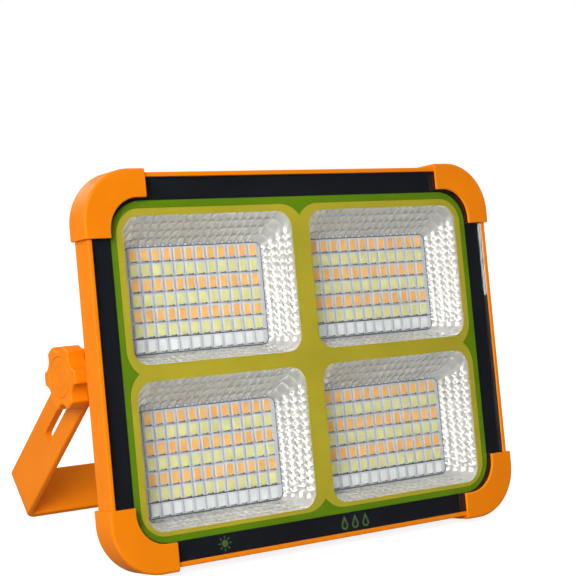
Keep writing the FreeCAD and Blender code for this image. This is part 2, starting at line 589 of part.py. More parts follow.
def make_housing(guard_shanks, plate_shanks, control_shanks):
    """Rear shell: a flat flange behind the frame, and the stepped box with the pivot bosses on it."""
    body = doc.addObject("PartDesign::Body", "housing_body")
    pad(body, "flange", FRAME_WIDE, FRAME_TALL, "dim.frame_corner", "dim.frame_split", "dim.flange_thick")
    pad(body, "step", STEP_WIDE, STEP_TALL, "dim.step_corner", FLANGE_REAR, f"{STEP_REAR} - {FLANGE_REAR}")
    pad(body, "box", "dim.box_width", "dim.box_height", "dim.box_corner", STEP_REAR,
        f"{BOX_REAR} - {STEP_REAR}")
    step_rear, box_rear = value(STEP_REAR), value(BOX_REAR)
    half_box = (value("dim.box_width") / 2, value("dim.box_height") / 2)
    half_step = (value(STEP_WIDE) / 2, value(STEP_TALL) / 2)
    round_edges(body, "cove", "dim.cove_round",
                lambda edge: at_depth(edge, step_rear) and outermost(edge, *half_box))
    round_edges(body, "box_edge", "dim.box_round",
                lambda edge: at_depth(edge, box_rear) and outermost(edge, *half_box))
    round_edges(body, "step_edge", "dim.step_round",
                lambda edge: at_depth(edge, step_rear) and outermost(edge, *half_step))
    pocket(body, "front_hollow", f"({STEP_WIDE} - 2 * dim.step_wall)",
           f"({STEP_TALL} - 2 * dim.step_wall)", "dim.step_corner - dim.step_wall",
           "dim.frame_split", f"{PLATE_REAR} - dim.frame_split")
    pocket(body, "rear_hollow", "(dim.box_width - 2 * dim.box_wall)",
           "(dim.box_height - 2 * dim.box_wall)", "dim.box_corner - dim.box_wall",
           PLATE_REAR, f"{INNER_REAR} - {PLATE_REAR}")
    pocket(body, "solar_seat", f"({SOLAR_WIDE} + 2 * dim.solar_gap)",
           f"({SOLAR_TALL} + 2 * dim.solar_gap)", "dim.solar_corner + dim.solar_gap",
           SOLAR_FLOOR, "dim.solar_recess")
    added = [body]
    removed = [guard_shanks, plate_shanks, control_shanks]
    for name, side in SIDES.items():
        added.append(plate(f"boss_{name}", f"({BOSS_FACE} - dim.box_width / 2 + dim.boss_round)",
                           BOSS_TALL, "dim.boss_round", STEP_REAR,
                           f"{BOX_REAR} - dim.boss_end - {STEP_REAR}",
                           (f"{side} * ({BOSS_FACE} + dim.box_width / 2 - dim.boss_round) / 2", "0")))
        removed.append(side_box(f"nut_pocket_{name}", side, f"{NUT_START} - dim.nut_gap",
                                f"{NUT_START} + dim.nut_thick + dim.nut_gap", "0",
                                f"{PIVOT_DEPTH} - dim.nut_side / 2 - dim.nut_gap",
                                "(dim.nut_side + 2 * dim.nut_gap)",
                                f"({BOX_REAR} - {PIVOT_DEPTH} + dim.nut_side / 2 + dim.nut_gap)"))
        removed.append(side_rod(f"boss_hole_{name}", side, "dim.stud_radius + dim.stud_clear",
                                f"{NUT_START} + dim.nut_thick", BOSS_FACE, "0", f"-{PIVOT_DEPTH}"))
    for index, (x, y) in enumerate(control_holes(), start=1):
        added.append(rod(f"post_{index}", "dim.post_radius", f"{INNER_REAR} - {CONTROL_REAR}",
                         (x, y, f"-{INNER_REAR}")))
    removed.extend(top_openings())
    shell = cut("housing_shell", fuse("housing_solid", added), fuse("housing_cuts", removed))
    halves = {
        "back_flange": ("dim.frame_split", "dim.flange_thick"),
        "rear_housing": (FLANGE_REAR, f"{BOX_REAR} - {FLANGE_REAR}"),
    }
    for label, (front, deep) in halves.items():
        half = doc.addObject("Part::Common", f"{label}_half")
        half.Base = shell
        half.Tool = box(f"{label}_space", "0", "0", front, FRAME_WIDE, FRAME_TALL, deep)
        keep(half, label)


USB_A_DEPTH = f"({CONTROL_REAR} + dim.usb_a_thick / 2)"
USB_C_DEPTH = f"({CONTROL_REAR} + dim.usb_c_thick / 2)"
BUTTON_DEPTH = f"({CONTROL_REAR} + dim.switch_side / 2)"


def upright(name, x, low, high, middle_depth, wide, deep):
    """Block that stands between two heights."""
    return box(name, x, f"(({low}) + ({high})) / 2", f"{middle_depth} - {deep} / 2", wide,
               f"(({high}) - ({low}))", deep)


def top_openings():
    """Recess under the rubber cover, and the holes of the sockets, button and charge lights."""
    above = f"{BOX_TOP} + dim.cut_over"
    return [
        upright("cover_seat", "0", COVER_FLOOR, above, "dim.cover_middle",
                "(dim.cover_width + 2 * dim.cover_gap)", "(dim.cover_deep + 2 * dim.cover_gap)"),
        upright("usb_a_hole", "dim.usb_a_x", INNER_TOP, above, USB_A_DEPTH,
                "(dim.usb_a_width + 2 * dim.usb_gap)", "(dim.usb_a_thick + 2 * dim.usb_gap)"),
        upright("usb_c_hole", "-dim.usb_c_x", INNER_TOP, above, USB_C_DEPTH,
                "(dim.usb_c_width + 2 * dim.usb_gap)", "(dim.usb_c_thick + 2 * dim.usb_gap)"),
        upright("light_hole", "dim.light_x", INNER_TOP, above, BUTTON_DEPTH,
                "dim.light_width", "dim.light_deep"),
        rod("button_hole", "dim.button_radius + dim.button_gap", "dim.box_wall + dim.cut_over",
            ("dim.button_x", INNER_TOP, f"-{BUTTON_DEPTH}"), "y"),
    ]


def make_solar_panel():
    """Backsheet, ten wafers and clear laminate, seated in the back of the housing."""
    outline = (SOLAR_WIDE, SOLAR_TALL, "dim.solar_corner")
    keep(plate("backsheet", *outline, SOLAR_FLOOR, "dim.sheet_thick"), "solar_backsheet")
    keep(plate("solar_glass", *outline, f"{SOLAR_FLOOR} + dim.sheet_thick + dim.cell_thick",
               "dim.cover_thick"), "solar_cover")
    wafers = []
    for column in range(WAFER_COLUMNS):
        for line in range(WAFER_ROWS):
            x = f"{column - (WAFER_COLUMNS - 1) / 2} * ({WAFER_WIDE} + dim.wafer_gap_x)"
            y = f"{line - (WAFER_ROWS - 1) / 2} * ({WAFER_TALL} + dim.wafer_gap_y)"
            wafers.append(box(f"wafer_{column}_{line}", x, y, f"{SOLAR_FLOOR} + dim.sheet_thick",
                              WAFER_WIDE, WAFER_TALL, "dim.cell_thick"))
    keep(group("wafers", wafers), "solar_cells")


CELL_START = "(dim.holder_wall / 2 + dim.strip_thick)"
CELL_END = f"({CELL_START} + dim.battery_long)"
STRIP_END = f"({CELL_END} + dim.strip_thick)"


def make_batteries():
    """Four cells in two columns, their holder and the welded strips at their ends."""
    number = 0
    for side in SIDES.values():
        for level in (1, -1):
            number += 1
            cell = side_rod(f"battery_{number}", side, "dim.battery_radius", CELL_START, CELL_END,
                            f"{level} * {BATTERY_PITCH} / 2 - dim.battery_low",
                            f"-{CELL_FRONT} - dim.battery_radius")
            keep(cell, f"battery_cell_{number}")
    tall = f"({BATTERY_PITCH} + 2 * dim.battery_radius)"
    pieces = [box("holder_base", "0", "-dim.battery_low", HOLDER_FRONT,
                  f"(2 * ({STRIP_END} + dim.holder_wall))", tall, "dim.holder_floor"),
              box("holder_rib", "0", "-dim.battery_low", HOLDER_FRONT, "dim.holder_wall", tall,
                  "dim.holder_deep")]
    strips = []
    for name, side in SIDES.items():
        pieces.append(side_box(f"holder_end_{name}", side, STRIP_END, f"{STRIP_END} + dim.holder_wall",
                               "-dim.battery_low", HOLDER_FRONT, tall, "dim.holder_deep"))
        for place, start in (("outer", CELL_END), ("inner", "dim.holder_wall / 2")):
            strips.append(side_box(f"strip_{name}_{place}", side, start, f"{start} + dim.strip_thick",
                                   "-dim.battery_low",
                                   f"{CELL_FRONT} + dim.battery_radius - dim.strip_wide / 2",
                                   f"({BATTERY_PITCH} + dim.strip_wide)", "dim.strip_wide"))
    keep(fuse("holder", pieces), "battery_holder")
    keep(group("strips", strips), "nickel_strips")


def make_control_board(shanks):
    """Circuit board behind the heat plate that carries the sockets, switch and charge lights."""
    body = plate("control_plate", "dim.control_width", "dim.control_height", "dim.board_margin",
                 "dim.control_depth", "dim.board_thick", ("0", f"({CONTROL_TOP} - dim.control_height / 2)"))
    keep(cut("control_plate_holes", body, shanks), "control_board")


def make_socket(label, x, depth, wide, thick, long, tongue):
    """Metal shell with a plastic tongue, open at the top and just short of the cover's floor."""
    mouth = f"{COVER_FLOOR} - dim.usb_gap"
    low = f"{mouth} - {long}"
    floor = f"{low} + 2 * dim.usb_wall"
    shell = upright(f"{label}_shell", x, low, mouth, depth, wide, thick)
    inside = upright(f"{label}_inside", x, floor, mouth, depth, f"({wide} - 2 * dim.usb_wall)",
                     f"({thick} - 2 * dim.usb_wall)")
    blade = upright(f"{label}_tongue", x, low, f"{mouth} - dim.tongue_short", depth,
                    f"({wide} - 2 * dim.tongue_inset)", tongue)
    keep(fuse(f"{label}_solid", [cut(f"{label}_can", shell, inside), blade]), label)


def make_button():
    """Mode button, the switch under it and the switch's plunger."""
    low = f"{INNER_TOP} - dim.button_gap - dim.button_flange_thick"
    stem = rod("button_stem", "dim.button_radius", f"{BOX_TOP} + dim.button_proud - ({low})",
               ("dim.button_x", low, f"-{BUTTON_DEPTH}"), "y")
    flange = rod("button_skirt", "dim.button_flange", "dim.button_flange_thick",
                 ("dim.button_x", low, f"-{BUTTON_DEPTH}"), "y")
    keep(fuse("button_solid", [stem, flange]), "power_button")
    plunger_low = f"{CONTROL_TOP} - dim.plunger_deep"
    keep(rod("plunger", "dim.plunger_radius", f"({low}) - ({plunger_low})",
             ("dim.button_x", plunger_low, f"-{BUTTON_DEPTH}"), "y"), "switch_plunger")
    case = upright("switch_case", "dim.button_x", f"{CONTROL_TOP} - dim.switch_tall", CONTROL_TOP,
                   BUTTON_DEPTH, "dim.switch_side", "dim.switch_side")
    well_deep = "(dim.plunger_deep + dim.button_travel + dim.key_gap)"
    well = rod("switch_well", "dim.plunger_radius + dim.key_gap", well_deep,
               ("dim.button_x", f"{CONTROL_TOP} - {well_deep}", f"-{BUTTON_DEPTH}"), "y")
    keep(cut("switch_solid", case, well), "tact_switch")


def make_charge_lights():
    """Frosted bar in the housing's top, and the charge lights on the board under it."""
    keep(upright("light_bar", "dim.light_x", f"{INNER_TOP} - dim.plate_gap", BOX_TOP, BUTTON_DEPTH,
                 "dim.light_width", "dim.light_deep"), "indicator_window")
    lights = []
    for index in range(CHARGE_LIGHTS):
        x = f"dim.light_x + {index - (CHARGE_LIGHTS - 1) / 2} * dim.light_pitch"
        lights.append(upright(f"charge_light_{index + 1}", x, f"{CONTROL_TOP} - dim.light_side",
                              CONTROL_TOP, BUTTON_DEPTH, "dim.light_side", "dim.switch_side"))
    keep(group("charge_lights", lights), "indicator_leds")


COVER_LOW = f"({COVER_FLOOR} + dim.cover_lift)"
COVER_THICK = f"({BOX_TOP} + dim.cover_proud - {COVER_LOW})"
HINGE_HEIGHT = f"({COVER_LOW} + {COVER_THICK} / 2)"
HINGE_DEPTH = f"(dim.cover_middle - dim.cover_deep / 2 + {COVER_THICK} / 2)"


def make_port_cover():
    """Rubber flap over the sockets; its front edge is round about the hinge line."""
    flap = upright("cover_flap", "0", COVER_LOW, f"{BOX_TOP} + dim.cover_proud",
                   f"(({HINGE_DEPTH} + dim.cover_middle + dim.cover_deep / 2) / 2)",
                   "dim.cover_width", f"(dim.cover_middle + dim.cover_deep / 2 - {HINGE_DEPTH})")
    edge = rod("cover_edge", f"{COVER_THICK} / 2", "dim.cover_width",
               ("-dim.cover_width / 2", HINGE_HEIGHT, f"-{HINGE_DEPTH}"), "x")
    keep(fuse("cover_solid", [flap, edge]), "port_cover")


KEY_WIDE = "(dim.slot_wide - 2 * dim.key_gap)"


def long_hole(name, side, start, end, wide, low, high):
    """Round-ended bar across the lamp, used for the key and for the slot it slides in."""
    upper = f"(({high}) - {wide} / 2)"
    lower = f"(({low}) + {wide} / 2)"
    middle = side_box(f"{name}_middle", side, start, end, f"({upper} + {lower}) / 2", f"-{wide} / 2",
                      f"({upper} - {lower})", wide)
    ends = [side_rod(f"{name}_top", side, f"{wide} / 2", start, end, upper),
            side_rod(f"{name}_bottom", side, f"{wide} / 2", start, end, lower)]
    return fuse(name, [middle] + ends)


def make_pivots():
    """Captive nuts in the bosses, and the keyed bushes that ride in the stand's slots."""
    for name, side in SIDES.items():
        block = side_box(f"nut_block_{name}", side, NUT_START, f"{NUT_START} + dim.nut_thick", "0",
                         f"{PIVOT_DEPTH} - dim.nut_side / 2", "dim.nut_side", "dim.nut_side")
        bore = side_rod(f"nut_bore_{name}", side, "dim.stud_radius + dim.stud_gap", NUT_START,
                        f"{NUT_START} + dim.nut_thick", "0", f"-{PIVOT_DEPTH}")
        keep(cut(f"nut_{name}", block, bore), f"pivot_nut_{name}")
        inner = f"{BOSS_FACE} + dim.arm_gap"
        shoulder = f"{inner} + dim.bush_flange"
        outer = f"{ARM_OUTER} - dim.arm_gap"
        flange = side_rod(f"bush_flange_{name}", side, "dim.bush_radius", inner, shoulder)
        key = long_hole(f"bush_key_{name}", side, inner, outer, KEY_WIDE,
                        "-dim.key_long / 2", "dim.key_long / 2")
        through = side_rod(f"bush_bore_{name}", side, "dim.stud_radius + dim.stud_gap", inner, outer)
        bush = cut(f"bush_{name}", fuse(f"bush_solid_{name}", [flange, key]), through)
        keep(bush, f"slot_bush_{name}", STAND)


def make_stand():
    """U bracket: two slotted arms and a bar with finger grooves on one edge and a grip on the other."""
    body = doc.addObject("PartDesign::Body", "stand_body")
    tall = f"({ARM_LONG} + dim.arm_width)"
    pad(body, "stand_block", f"(2 * {ARM_OUTER})", tall, "dim.bend_radius", "-dim.arm_width / 2",
        "dim.arm_width", ("0", f"({tall} / 2 - {ARM_LONG})"))
    pocket(body, "stand_gap", f"(2 * {ARM_INNER})", tall, "dim.bend_radius - dim.arm_thick",
           "-dim.arm_width / 2", "dim.arm_width", ("0", f"({tall} / 2 - {ARM_LONG} + dim.arm_thick)"))
    half = value("dim.arm_width") / 2
    round_edges(body, "stand_edges", "dim.stand_round",
                lambda edge: at_depth(edge, half) or at_depth(edge, -half))
    bar_low = f"-{ARM_LONG}"
    side_view = fuse("arm_outline", [
        box("arm_strip", "0", f"{bar_low} / 2", "-dim.arm_width / 2", f"(2 * {ARM_OUTER})",
            ARM_LONG, "dim.arm_width"),
        rod("arm_tips", "dim.arm_width / 2", f"2 * {ARM_OUTER}", (f"-{ARM_OUTER}", "0", "0"), "x"),
    ])
    trimmed = doc.addObject("Part::Common", "stand_trimmed")
    trimmed.Base = body
    trimmed.Tool = side_view
    added = [trimmed]
    for index in range(BULGES):
        x = f"{index - (BULGES - 1) / 2} * dim.bulge_pitch"
        added.append(rod(f"bulge_{index}", "dim.bulge_radius", "dim.arm_thick",
                         (x, bar_low, "-dim.arm_width / 2 - dim.bulge_out + dim.bulge_radius"), "y"))
    removed = []
    for index in range(GROOVES):
        x = f"{index - (GROOVES - 1) / 2} * dim.groove_pitch"
        removed.append(rod(f"groove_{index}", "dim.groove_radius", "dim.arm_thick",
                           (x, bar_low, "dim.arm_width / 2 - dim.groove_deep + dim.groove_radius"), "y"))
    for name, side in SIDES.items():
        removed.append(long_hole(f"slot_{name}", side, ARM_INNER, ARM_OUTER, "dim.slot_wide",
                                 "-dim.slot_end", "dim.key_long / 2 + dim.key_gap"))
    keep(cut("stand_solid", fuse("stand_added", added), fuse("stand_removed", removed)),
         "stand_bracket", STAND)


def make_knob(name, frame):
    """Star knob with its moulded-in stud, cap and washer, drawn with z pointing out of the lamp."""
    core = rod(f"knob_core_{name}", "dim.knob_radius", "dim.knob_thick", ("0", "0", "0"))
    flutes = []
    for index in range(FLUTES):
        angle = 2 * math.pi * (index + 0.5) / FLUTES
        reach = "(dim.knob_radius + dim.flute_radius - dim.flute_deep)"
        flutes.append(rod(f"flute_{name}_{index}", "dim.flute_radius", "dim.knob_thick",
                          (f"{math.cos(angle):.9f} * {reach}", f"{math.sin(angle):.9f} * {reach}", "0")))
    star = cut(f"knob_star_{name}", core, fuse(f"flutes_{name}", flutes))
    doc.recompute()
    top = value("dim.knob_thick")
    smooth = doc.addObject("Part::Fillet", f"knob_smooth_{name}")
    smooth.Base = star
    radius = value("dim.knob_round")
    smooth.Edges = [(i, radius, radius) for i, edge in enumerate(star.Shape.Edges, start=1)
                    if at_depth(edge, -top) or edge.BoundBox.ZLength > top / 2]
    stud = rod(f"stud_rod_{name}", "dim.stud_radius", "dim.stud_reach + dim.insert_cover",
               ("0", "0", "-dim.stud_reach"))
    collar = rod(f"stud_collar_{name}", "dim.insert_radius", "dim.insert_thick",
                 ("0", "0", "dim.insert_cover"))
    metal = fuse(f"stud_solid_{name}", [stud, collar])
    cap = rod(f"cap_disc_{name}", "dim.cap_radius", "dim.cap_thick",
              ("0", "0", "dim.knob_thick - dim.cap_thick"))
    band = cut(f"ring_{name}",
               rod(f"ring_outer_{name}", "dim.ring_radius", "dim.ring_deep",
                   ("0", "0", "dim.knob_thick - dim.ring_deep")),
               rod(f"ring_inner_{name}", "dim.ring_radius - dim.ring_wide", "dim.ring_deep",
                   ("0", "0", "dim.knob_thick - dim.ring_deep")))
    keep(cut(f"knob_solid_{name}", smooth, fuse(f"knob_cuts_{name}", [metal, cap, band])),
         f"knob_{name}", frame)
    keep(group(f"stud_piece_{name}", [metal]), f"knob_stud_{name}", frame)
    keep(cap, f"knob_cap_{name}", frame)
    under = ("0", "0", "-dim.washer_thick")
    disc = rod(f"washer_disc_{name}", "dim.washer_radius", "dim.washer_thick", under)
    hole = rod(f"washer_hole_{name}", "dim.stud_radius", "dim.washer_thick", under)
    keep(cut(f"washer_{name}", disc, hole), f"knob_washer_{name}", frame)


# ---------------------------------------------------------------- standing the lamp on the floor

def turn_about_x(degrees):
    """Rotation that leans things back from the vertical."""
    return FreeCAD.Rotation(FreeCAD.Vector(1, 0, 0), degrees)


def stand_in_head():
    """Place of the stand's frame in the plate frame."""
    pivot = FreeCAD.Vector(0, 0, -value(PIVOT_DEPTH))
    return FreeCAD.Placement(pivot, turn_about_x(value("dim.stand_angle")))


def knob_in_head(side):
    """Place of a knob's frame, whose z points out of the lamp, in the plate frame."""
    place = FreeCAD.Vector(side * value(KNOB_FACE), 0, -value(PIVOT_DEPTH))
    return FreeCAD.Placement(place, FreeCAD.Rotation(FreeCAD.Vector(0, 1, 0), 90 * side))


def lean_angle():
    """Lean that rests the lower guards and the stand's bar on one floor, round edge to round edge."""
    guard_round, bar_round = value("dim.guard_round"), value("dim.stand_round")
    guard_depth = value(GUARD_REAR) - guard_round
    guard_height = guard_round - value(FRAME_TALL) / 2 - value("dim.guard_wall")
    corner = FreeCAD.Vector(0, bar_round - value(ARM_LONG), value("dim.arm_width") / 2 - bar_round)
    bar = stand_in_head().multVec(corner)
    rise = guard_height - bar.y
    run = -bar.z - guard_depth
    reach = math.hypot(rise, run)
    tilt = math.atan2(run, rise) - math.acos((guard_round - bar_round) / reach)
    return math.degrees(tilt)


def place_all():
    """Lean the head, swing the stand, then move everything so the origin is under the middle."""
    head = FreeCAD.Placement(FreeCAD.Vector(), turn_about_x(90 - lean_angle()))
    frames = {
        HEAD: head,
        STAND: head.multiply(stand_in_head()),
        KNOB_LEFT: head.multiply(knob_in_head(-1)),
        KNOB_RIGHT: head.multiply(knob_in_head(1)),
    }
    reach = FreeCAD.BoundBox()
    for obj, frame in nodes.values():
        obj.Placement = frames[frame]
    doc.recompute()
    for obj, frame in nodes.values():
        reach.add(obj.Shape.optimalBoundingBox(False, False))
    shift = FreeCAD.Vector(-reach.Center.x, -reach.Center.y, -reach.ZMin)
    for frame in frames.values():
        frame.Base = frame.Base + shift
    for obj, frame in nodes.values():
        obj.Placement = frames[frame]
    doc.recompute()
    return frames


def report_places(frames):
    """Print what a user of the part needs: the lean, the joint axes and the overall box."""
    head = frames[HEAD]
    print(f"lean {lean_angle():.4f} degrees")
    spots = {
        "pivot": (0, 0, -value(PIVOT_DEPTH)),
        "cover_hinge": (0, value(HINGE_HEIGHT), -value(HINGE_DEPTH)),
        "glass_face": (0, 0, 0),
        "usb_a_mouth": (value("dim.usb_a_x"), value(COVER_FLOOR), -value(USB_A_DEPTH)),
        "button_top": (value("dim.button_x"), value(BOX_TOP), -value(BUTTON_DEPTH)),
    }
    for name, spot in spots.items():
        print(name, [round(number, 4) for number in head.multVec(FreeCAD.Vector(*spot))])
    for name, direction in {"head_up": (0, 1, 0), "head_front": (0, 0, 1)}.items():
        print(name, [round(number, 6) for number in head.Rotation.multVec(FreeCAD.Vector(*direction))])
    up = frames[STAND].Rotation.multVec(FreeCAD.Vector(0, 1, 0))
    print("stand_up", [round(number, 6) for number in up])


def check_and_write():
    """Stop on any failed object or bad solid, then write one STEP file per node."""
    for obj in doc.Objects:
        if "Invalid" in obj.State or "Error" in obj.State:
            raise ValueError(f"{obj.Name} failed: {obj.State}")
    os.makedirs("parts", exist_ok=True)
    total = FreeCAD.BoundBox()
    for label, (obj, frame) in nodes.items():
        shape = obj.Shape
        if shape.isNull() or not shape.isValid():
            raise ValueError(f"{label} is not a good solid")
        total.add(shape.optimalBoundingBox(False, False))
        shape.exportStep(os.path.join("parts", f"{label}.step"))
        print(f"{label}: {len(shape.Solids)} solids, {shape.Volume / 1000:.3f} cm3")
    print(f"{len(nodes)} nodes, box {total}")


def main():
    guard_shanks = make_guard_screws()
    plate_shanks = make_plate_screws()
    control_shanks = make_control_screws()
    make_frame(guard_shanks, make_seal())
    make_front()
    make_guards(guard_shanks)
    make_light_units()
    make_leds()
    make_heat_plate(plate_shanks)
    make_housing(guard_shanks, plate_shanks, control_shanks)
    make_solar_panel()
    make_batteries()
    make_control_board(control_shanks)
    make_socket("usb_a_socket", "dim.usb_a_x", USB_A_DEPTH, "dim.usb_a_width", "dim.usb_a_thick",
                "dim.usb_a_long", "dim.usb_a_tongue")
    make_socket("usb_c_socket", "-dim.usb_c_x", USB_C_DEPTH, "dim.usb_c_width", "dim.usb_c_thick",
                "dim.usb_c_long", "dim.usb_c_tongue")
    make_button()
    make_charge_lights()
    make_port_cover()
    make_pivots()
    make_stand()
    make_knob("left", KNOB_LEFT)
    make_knob("right", KNOB_RIGHT)
    doc.recompute()
    report_places(place_all())
    check_and_write()


main()
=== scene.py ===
"""Looks of a folding solar flood light: panel, printed film, beaded reflectors, LED chips and casing."""

import json
import math

import bmesh
import bpy
from mathutils import Matrix, Vector
from mathutils.geometry import tessellate_polygon


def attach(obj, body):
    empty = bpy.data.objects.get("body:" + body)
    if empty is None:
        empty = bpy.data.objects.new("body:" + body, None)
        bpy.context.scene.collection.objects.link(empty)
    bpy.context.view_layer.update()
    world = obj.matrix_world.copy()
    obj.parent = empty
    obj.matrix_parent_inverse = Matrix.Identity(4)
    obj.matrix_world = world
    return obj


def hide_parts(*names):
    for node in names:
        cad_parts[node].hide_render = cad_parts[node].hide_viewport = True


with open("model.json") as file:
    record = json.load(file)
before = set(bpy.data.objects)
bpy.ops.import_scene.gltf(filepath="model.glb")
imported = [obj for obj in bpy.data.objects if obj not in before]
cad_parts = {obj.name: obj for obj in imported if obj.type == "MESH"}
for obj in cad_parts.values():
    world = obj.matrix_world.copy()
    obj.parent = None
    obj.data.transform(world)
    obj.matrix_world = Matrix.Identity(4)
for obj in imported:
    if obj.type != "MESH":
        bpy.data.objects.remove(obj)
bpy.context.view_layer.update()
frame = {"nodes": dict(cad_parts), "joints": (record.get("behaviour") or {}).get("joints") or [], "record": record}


# ---------------------------------------------------------------- the lamp head's own millimetres

PIVOT_DEPTH = 29.0      # the stand's pivots, behind the face of the clear panel
FILM = 2.0              # depth of the printed film's front face, at the back of the clear panel
BOARD = 14.65           # depth of the LED boards' front faces
CHIP_FRONT = 13.85      # depth of the LED chips' front faces
WAFER_REAR = 40.4       # depth of the solar wafers' outer faces

PANEL_WIDE, PANEL_TALL, PANEL_ROUND = 198.0, 151.0, 18.0
WINDOW_WIDE, WINDOW_TALL, WINDOW_ROUND = 80.0, 58.6, 7.0
WINDOW_X, WINDOW_Y, WINDOW_DROP = 44.5, 32.55, 1.3
THROAT_WIDE, THROAT_TALL, THROAT_ROUND = 66.0, 43.4, 3.0
THROAT_SHIFT, THROAT_DROP = 1.0, 3.7
WINDOWS = {
    "upper_left": (-WINDOW_X, WINDOW_Y - WINDOW_DROP),
    "upper_right": (WINDOW_X, WINDOW_Y - WINDOW_DROP),
    "lower_left": (-WINDOW_X, -WINDOW_Y - WINDOW_DROP),
    "lower_right": (WINDOW_X, -WINDOW_Y - WINDOW_DROP),
}

COLUMNS, ROWS = 12, 7
PITCH_X, PITCH_Y = 5.2, 6.06

QUADRANTS = ((1, 1), (-1, 1), (-1, -1), (1, -1))        # (right or left, up or down), anticlockwise


def throat_middle(middle):
    """Middle of the LED board behind a window, a little left of and below the window's own."""
    return (middle[0] - THROAT_SHIFT, middle[1] - THROAT_DROP)


def mount_axis(name):
    """Direction of one of the record's mounts."""
    return Vector(next(m["axis"] for m in frame["record"]["mounts"] if m["name"] == name))


def head_matrix():
    """Takes (x, y, z) in mm, with x right, y up the face and z out of the clear panel, to the row frame."""
    up, out = mount_axis("usb_a_port"), mount_axis("guard_front_face")
    pivot = Vector(next(j["pos_m"] for j in frame["joints"] if j["name"] == "stand_swing"))
    turn = Matrix((up.cross(out), up, out)).transposed().to_4x4()
    return Matrix.Translation(pivot + out * PIVOT_DEPTH / 1000) @ turn @ Matrix.Scale(0.001, 4)


HEAD = head_matrix()


# ---------------------------------------------------------------- materials

PATTERN_LOW, PATTERN_HIGH = 0.3, 0.7      # the values that most of a noise pattern lies between


class Shader:
    """A Principled material and the few node shapes that the finishes below are made of."""

    def __init__(self, name, colour, roughness, **constants):
        self.material = bpy.data.materials.new(name)
        self.material.use_nodes = True
        self.tree = self.material.node_tree
        self.principled = self.tree.nodes["Principled BSDF"]
        self.set("Base Color", (*colour, 1.0))
        self.set("Roughness", roughness)
        for socket, number in constants.items():
            self.set(socket.replace("_", " "), number)
        self.colour = colour
        self.place = self.tree.nodes.new("ShaderNodeTexCoord").outputs["Object"]

    def set(self, socket, number):
        """One number or colour for the whole surface."""
        self.principled.inputs[socket].default_value = number

    def node(self, kind, links=None, **settings):
        """New shader node, with its sockets linked to outputs or set to numbers."""
        made = self.tree.nodes.new(f"ShaderNode{kind}")
        for key, setting in settings.items():
            setattr(made, key, setting)
        for socket, source in (links or {}).items():
            if hasattr(source, "is_output"):
                self.tree.links.new(source, made.inputs[socket])
            else:
                made.inputs[socket].default_value = source
        return made

    def link(self, output, socket):
        """Lets a pattern drive one of the surface's own sockets."""
        self.tree.links.new(output, self.principled.inputs[socket])

    def noise(self, size_mm, detail=2.0):
        """Cloudy pattern whose patches are about size_mm across."""
        links = {"Vector": self.place, "Scale": 1000.0 / size_mm, "Detail": detail}
        return self.node("TexNoise", links).outputs["Fac"]

    def spread(self, pattern, low, high):
        """Pattern stretched to run from low to high."""
        links = {"Value": pattern, "From Min": PATTERN_LOW, "From Max": PATTERN_HIGH,
                 "To Min": low, "To Max": high}
        return self.node("MapRange", links).outputs["Result"]

    def tint(self, pattern, dark, light):
        """Base colour that runs from dark to light shares of the material's own colour."""
        ramp = self.node("ValToRGB", {"Fac": pattern})
        ramp.color_ramp.elements[0].position = PATTERN_LOW
        ramp.color_ramp.elements[1].position = PATTERN_HIGH
        for element, share in zip(ramp.color_ramp.elements, (dark, light)):
            element.color = (*[min(1.0, part * share) for part in self.colour], 1.0)
        self.link(ramp.outputs["Color"], "Base Color")

    def bump(self, pattern, height_mm, strength=1.0):
        """Fine relief that follows the pattern, up to height_mm tall at a strength of 1."""
        links = {"Height": pattern, "Distance": height_mm / 1000, "Strength": strength}
        self.link(self.node("Bump", links).outputs["Normal"], "Normal")


def moulded(name, colour, roughness, grain_mm=0.5, grain_height=0.02, **constants):
    """Injection-moulded plastic: fine spark grain, faint flow mottling and uneven gloss."""
    shader = Shader(name, colour, roughness, **constants)
    shader.tint(shader.noise(26.0, 3.0), 0.94, 1.05)
    shader.link(shader.spread(shader.noise(9.0, 4.0), roughness - 0.06, roughness + 0.06), "Roughness")
    shader.bump(shader.noise(grain_mm, 1.0), grain_height, 0.35)
    return shader.material


LINE_STRETCH = (0.2, 6.0, 6.0)          # draws a metal's noise out into lines along x


def metal(name, colour, roughness):
    """Worked metal with fine lines along one direction."""
    shader = Shader(name, colour, roughness, Metallic=1.0)
    stretched = shader.node("Mapping", {"Vector": shader.place, "Scale": LINE_STRETCH}).outputs["Vector"]
    links = {"Vector": stretched, "Scale": 900.0, "Detail": 2.0}
    lines = shader.node("TexNoise", links).outputs["Fac"]
    shader.link(shader.spread(lines, roughness - 0.08, roughness + 0.1), "Roughness")
    shader.tint(shader.noise(12.0, 3.0), 0.9, 1.04)
    shader.bump(lines, 0.01, 0.4)
    return shader.material


def metallised():
    """Vacuum-metallised skin over the beads: silvery, with a milky haze that shows their relief."""
    shader = Shader("metallised_skin", (0.74, 0.73, 0.70), 0.18, Metallic=0.72)
    shader.link(shader.spread(shader.noise(14.0, 3.0), 0.14, 0.24), "Roughness")
    shader.tint(shader.noise(22.0, 2.0), 0.94, 1.03)
    return shader.material


def film(name, colour, roughness=0.45):
    """Screen-printed ink bonded to the panel: no gloss of its own, and small changes of density."""
    shader = Shader(name, colour, roughness, Specular_IOR_Level=0.02)
    shader.tint(shader.noise(30.0, 2.0), 0.93, 1.06)
    shader.link(shader.spread(shader.noise(3.0), roughness - 0.05, roughness + 0.08), "Roughness")
    return shader.material


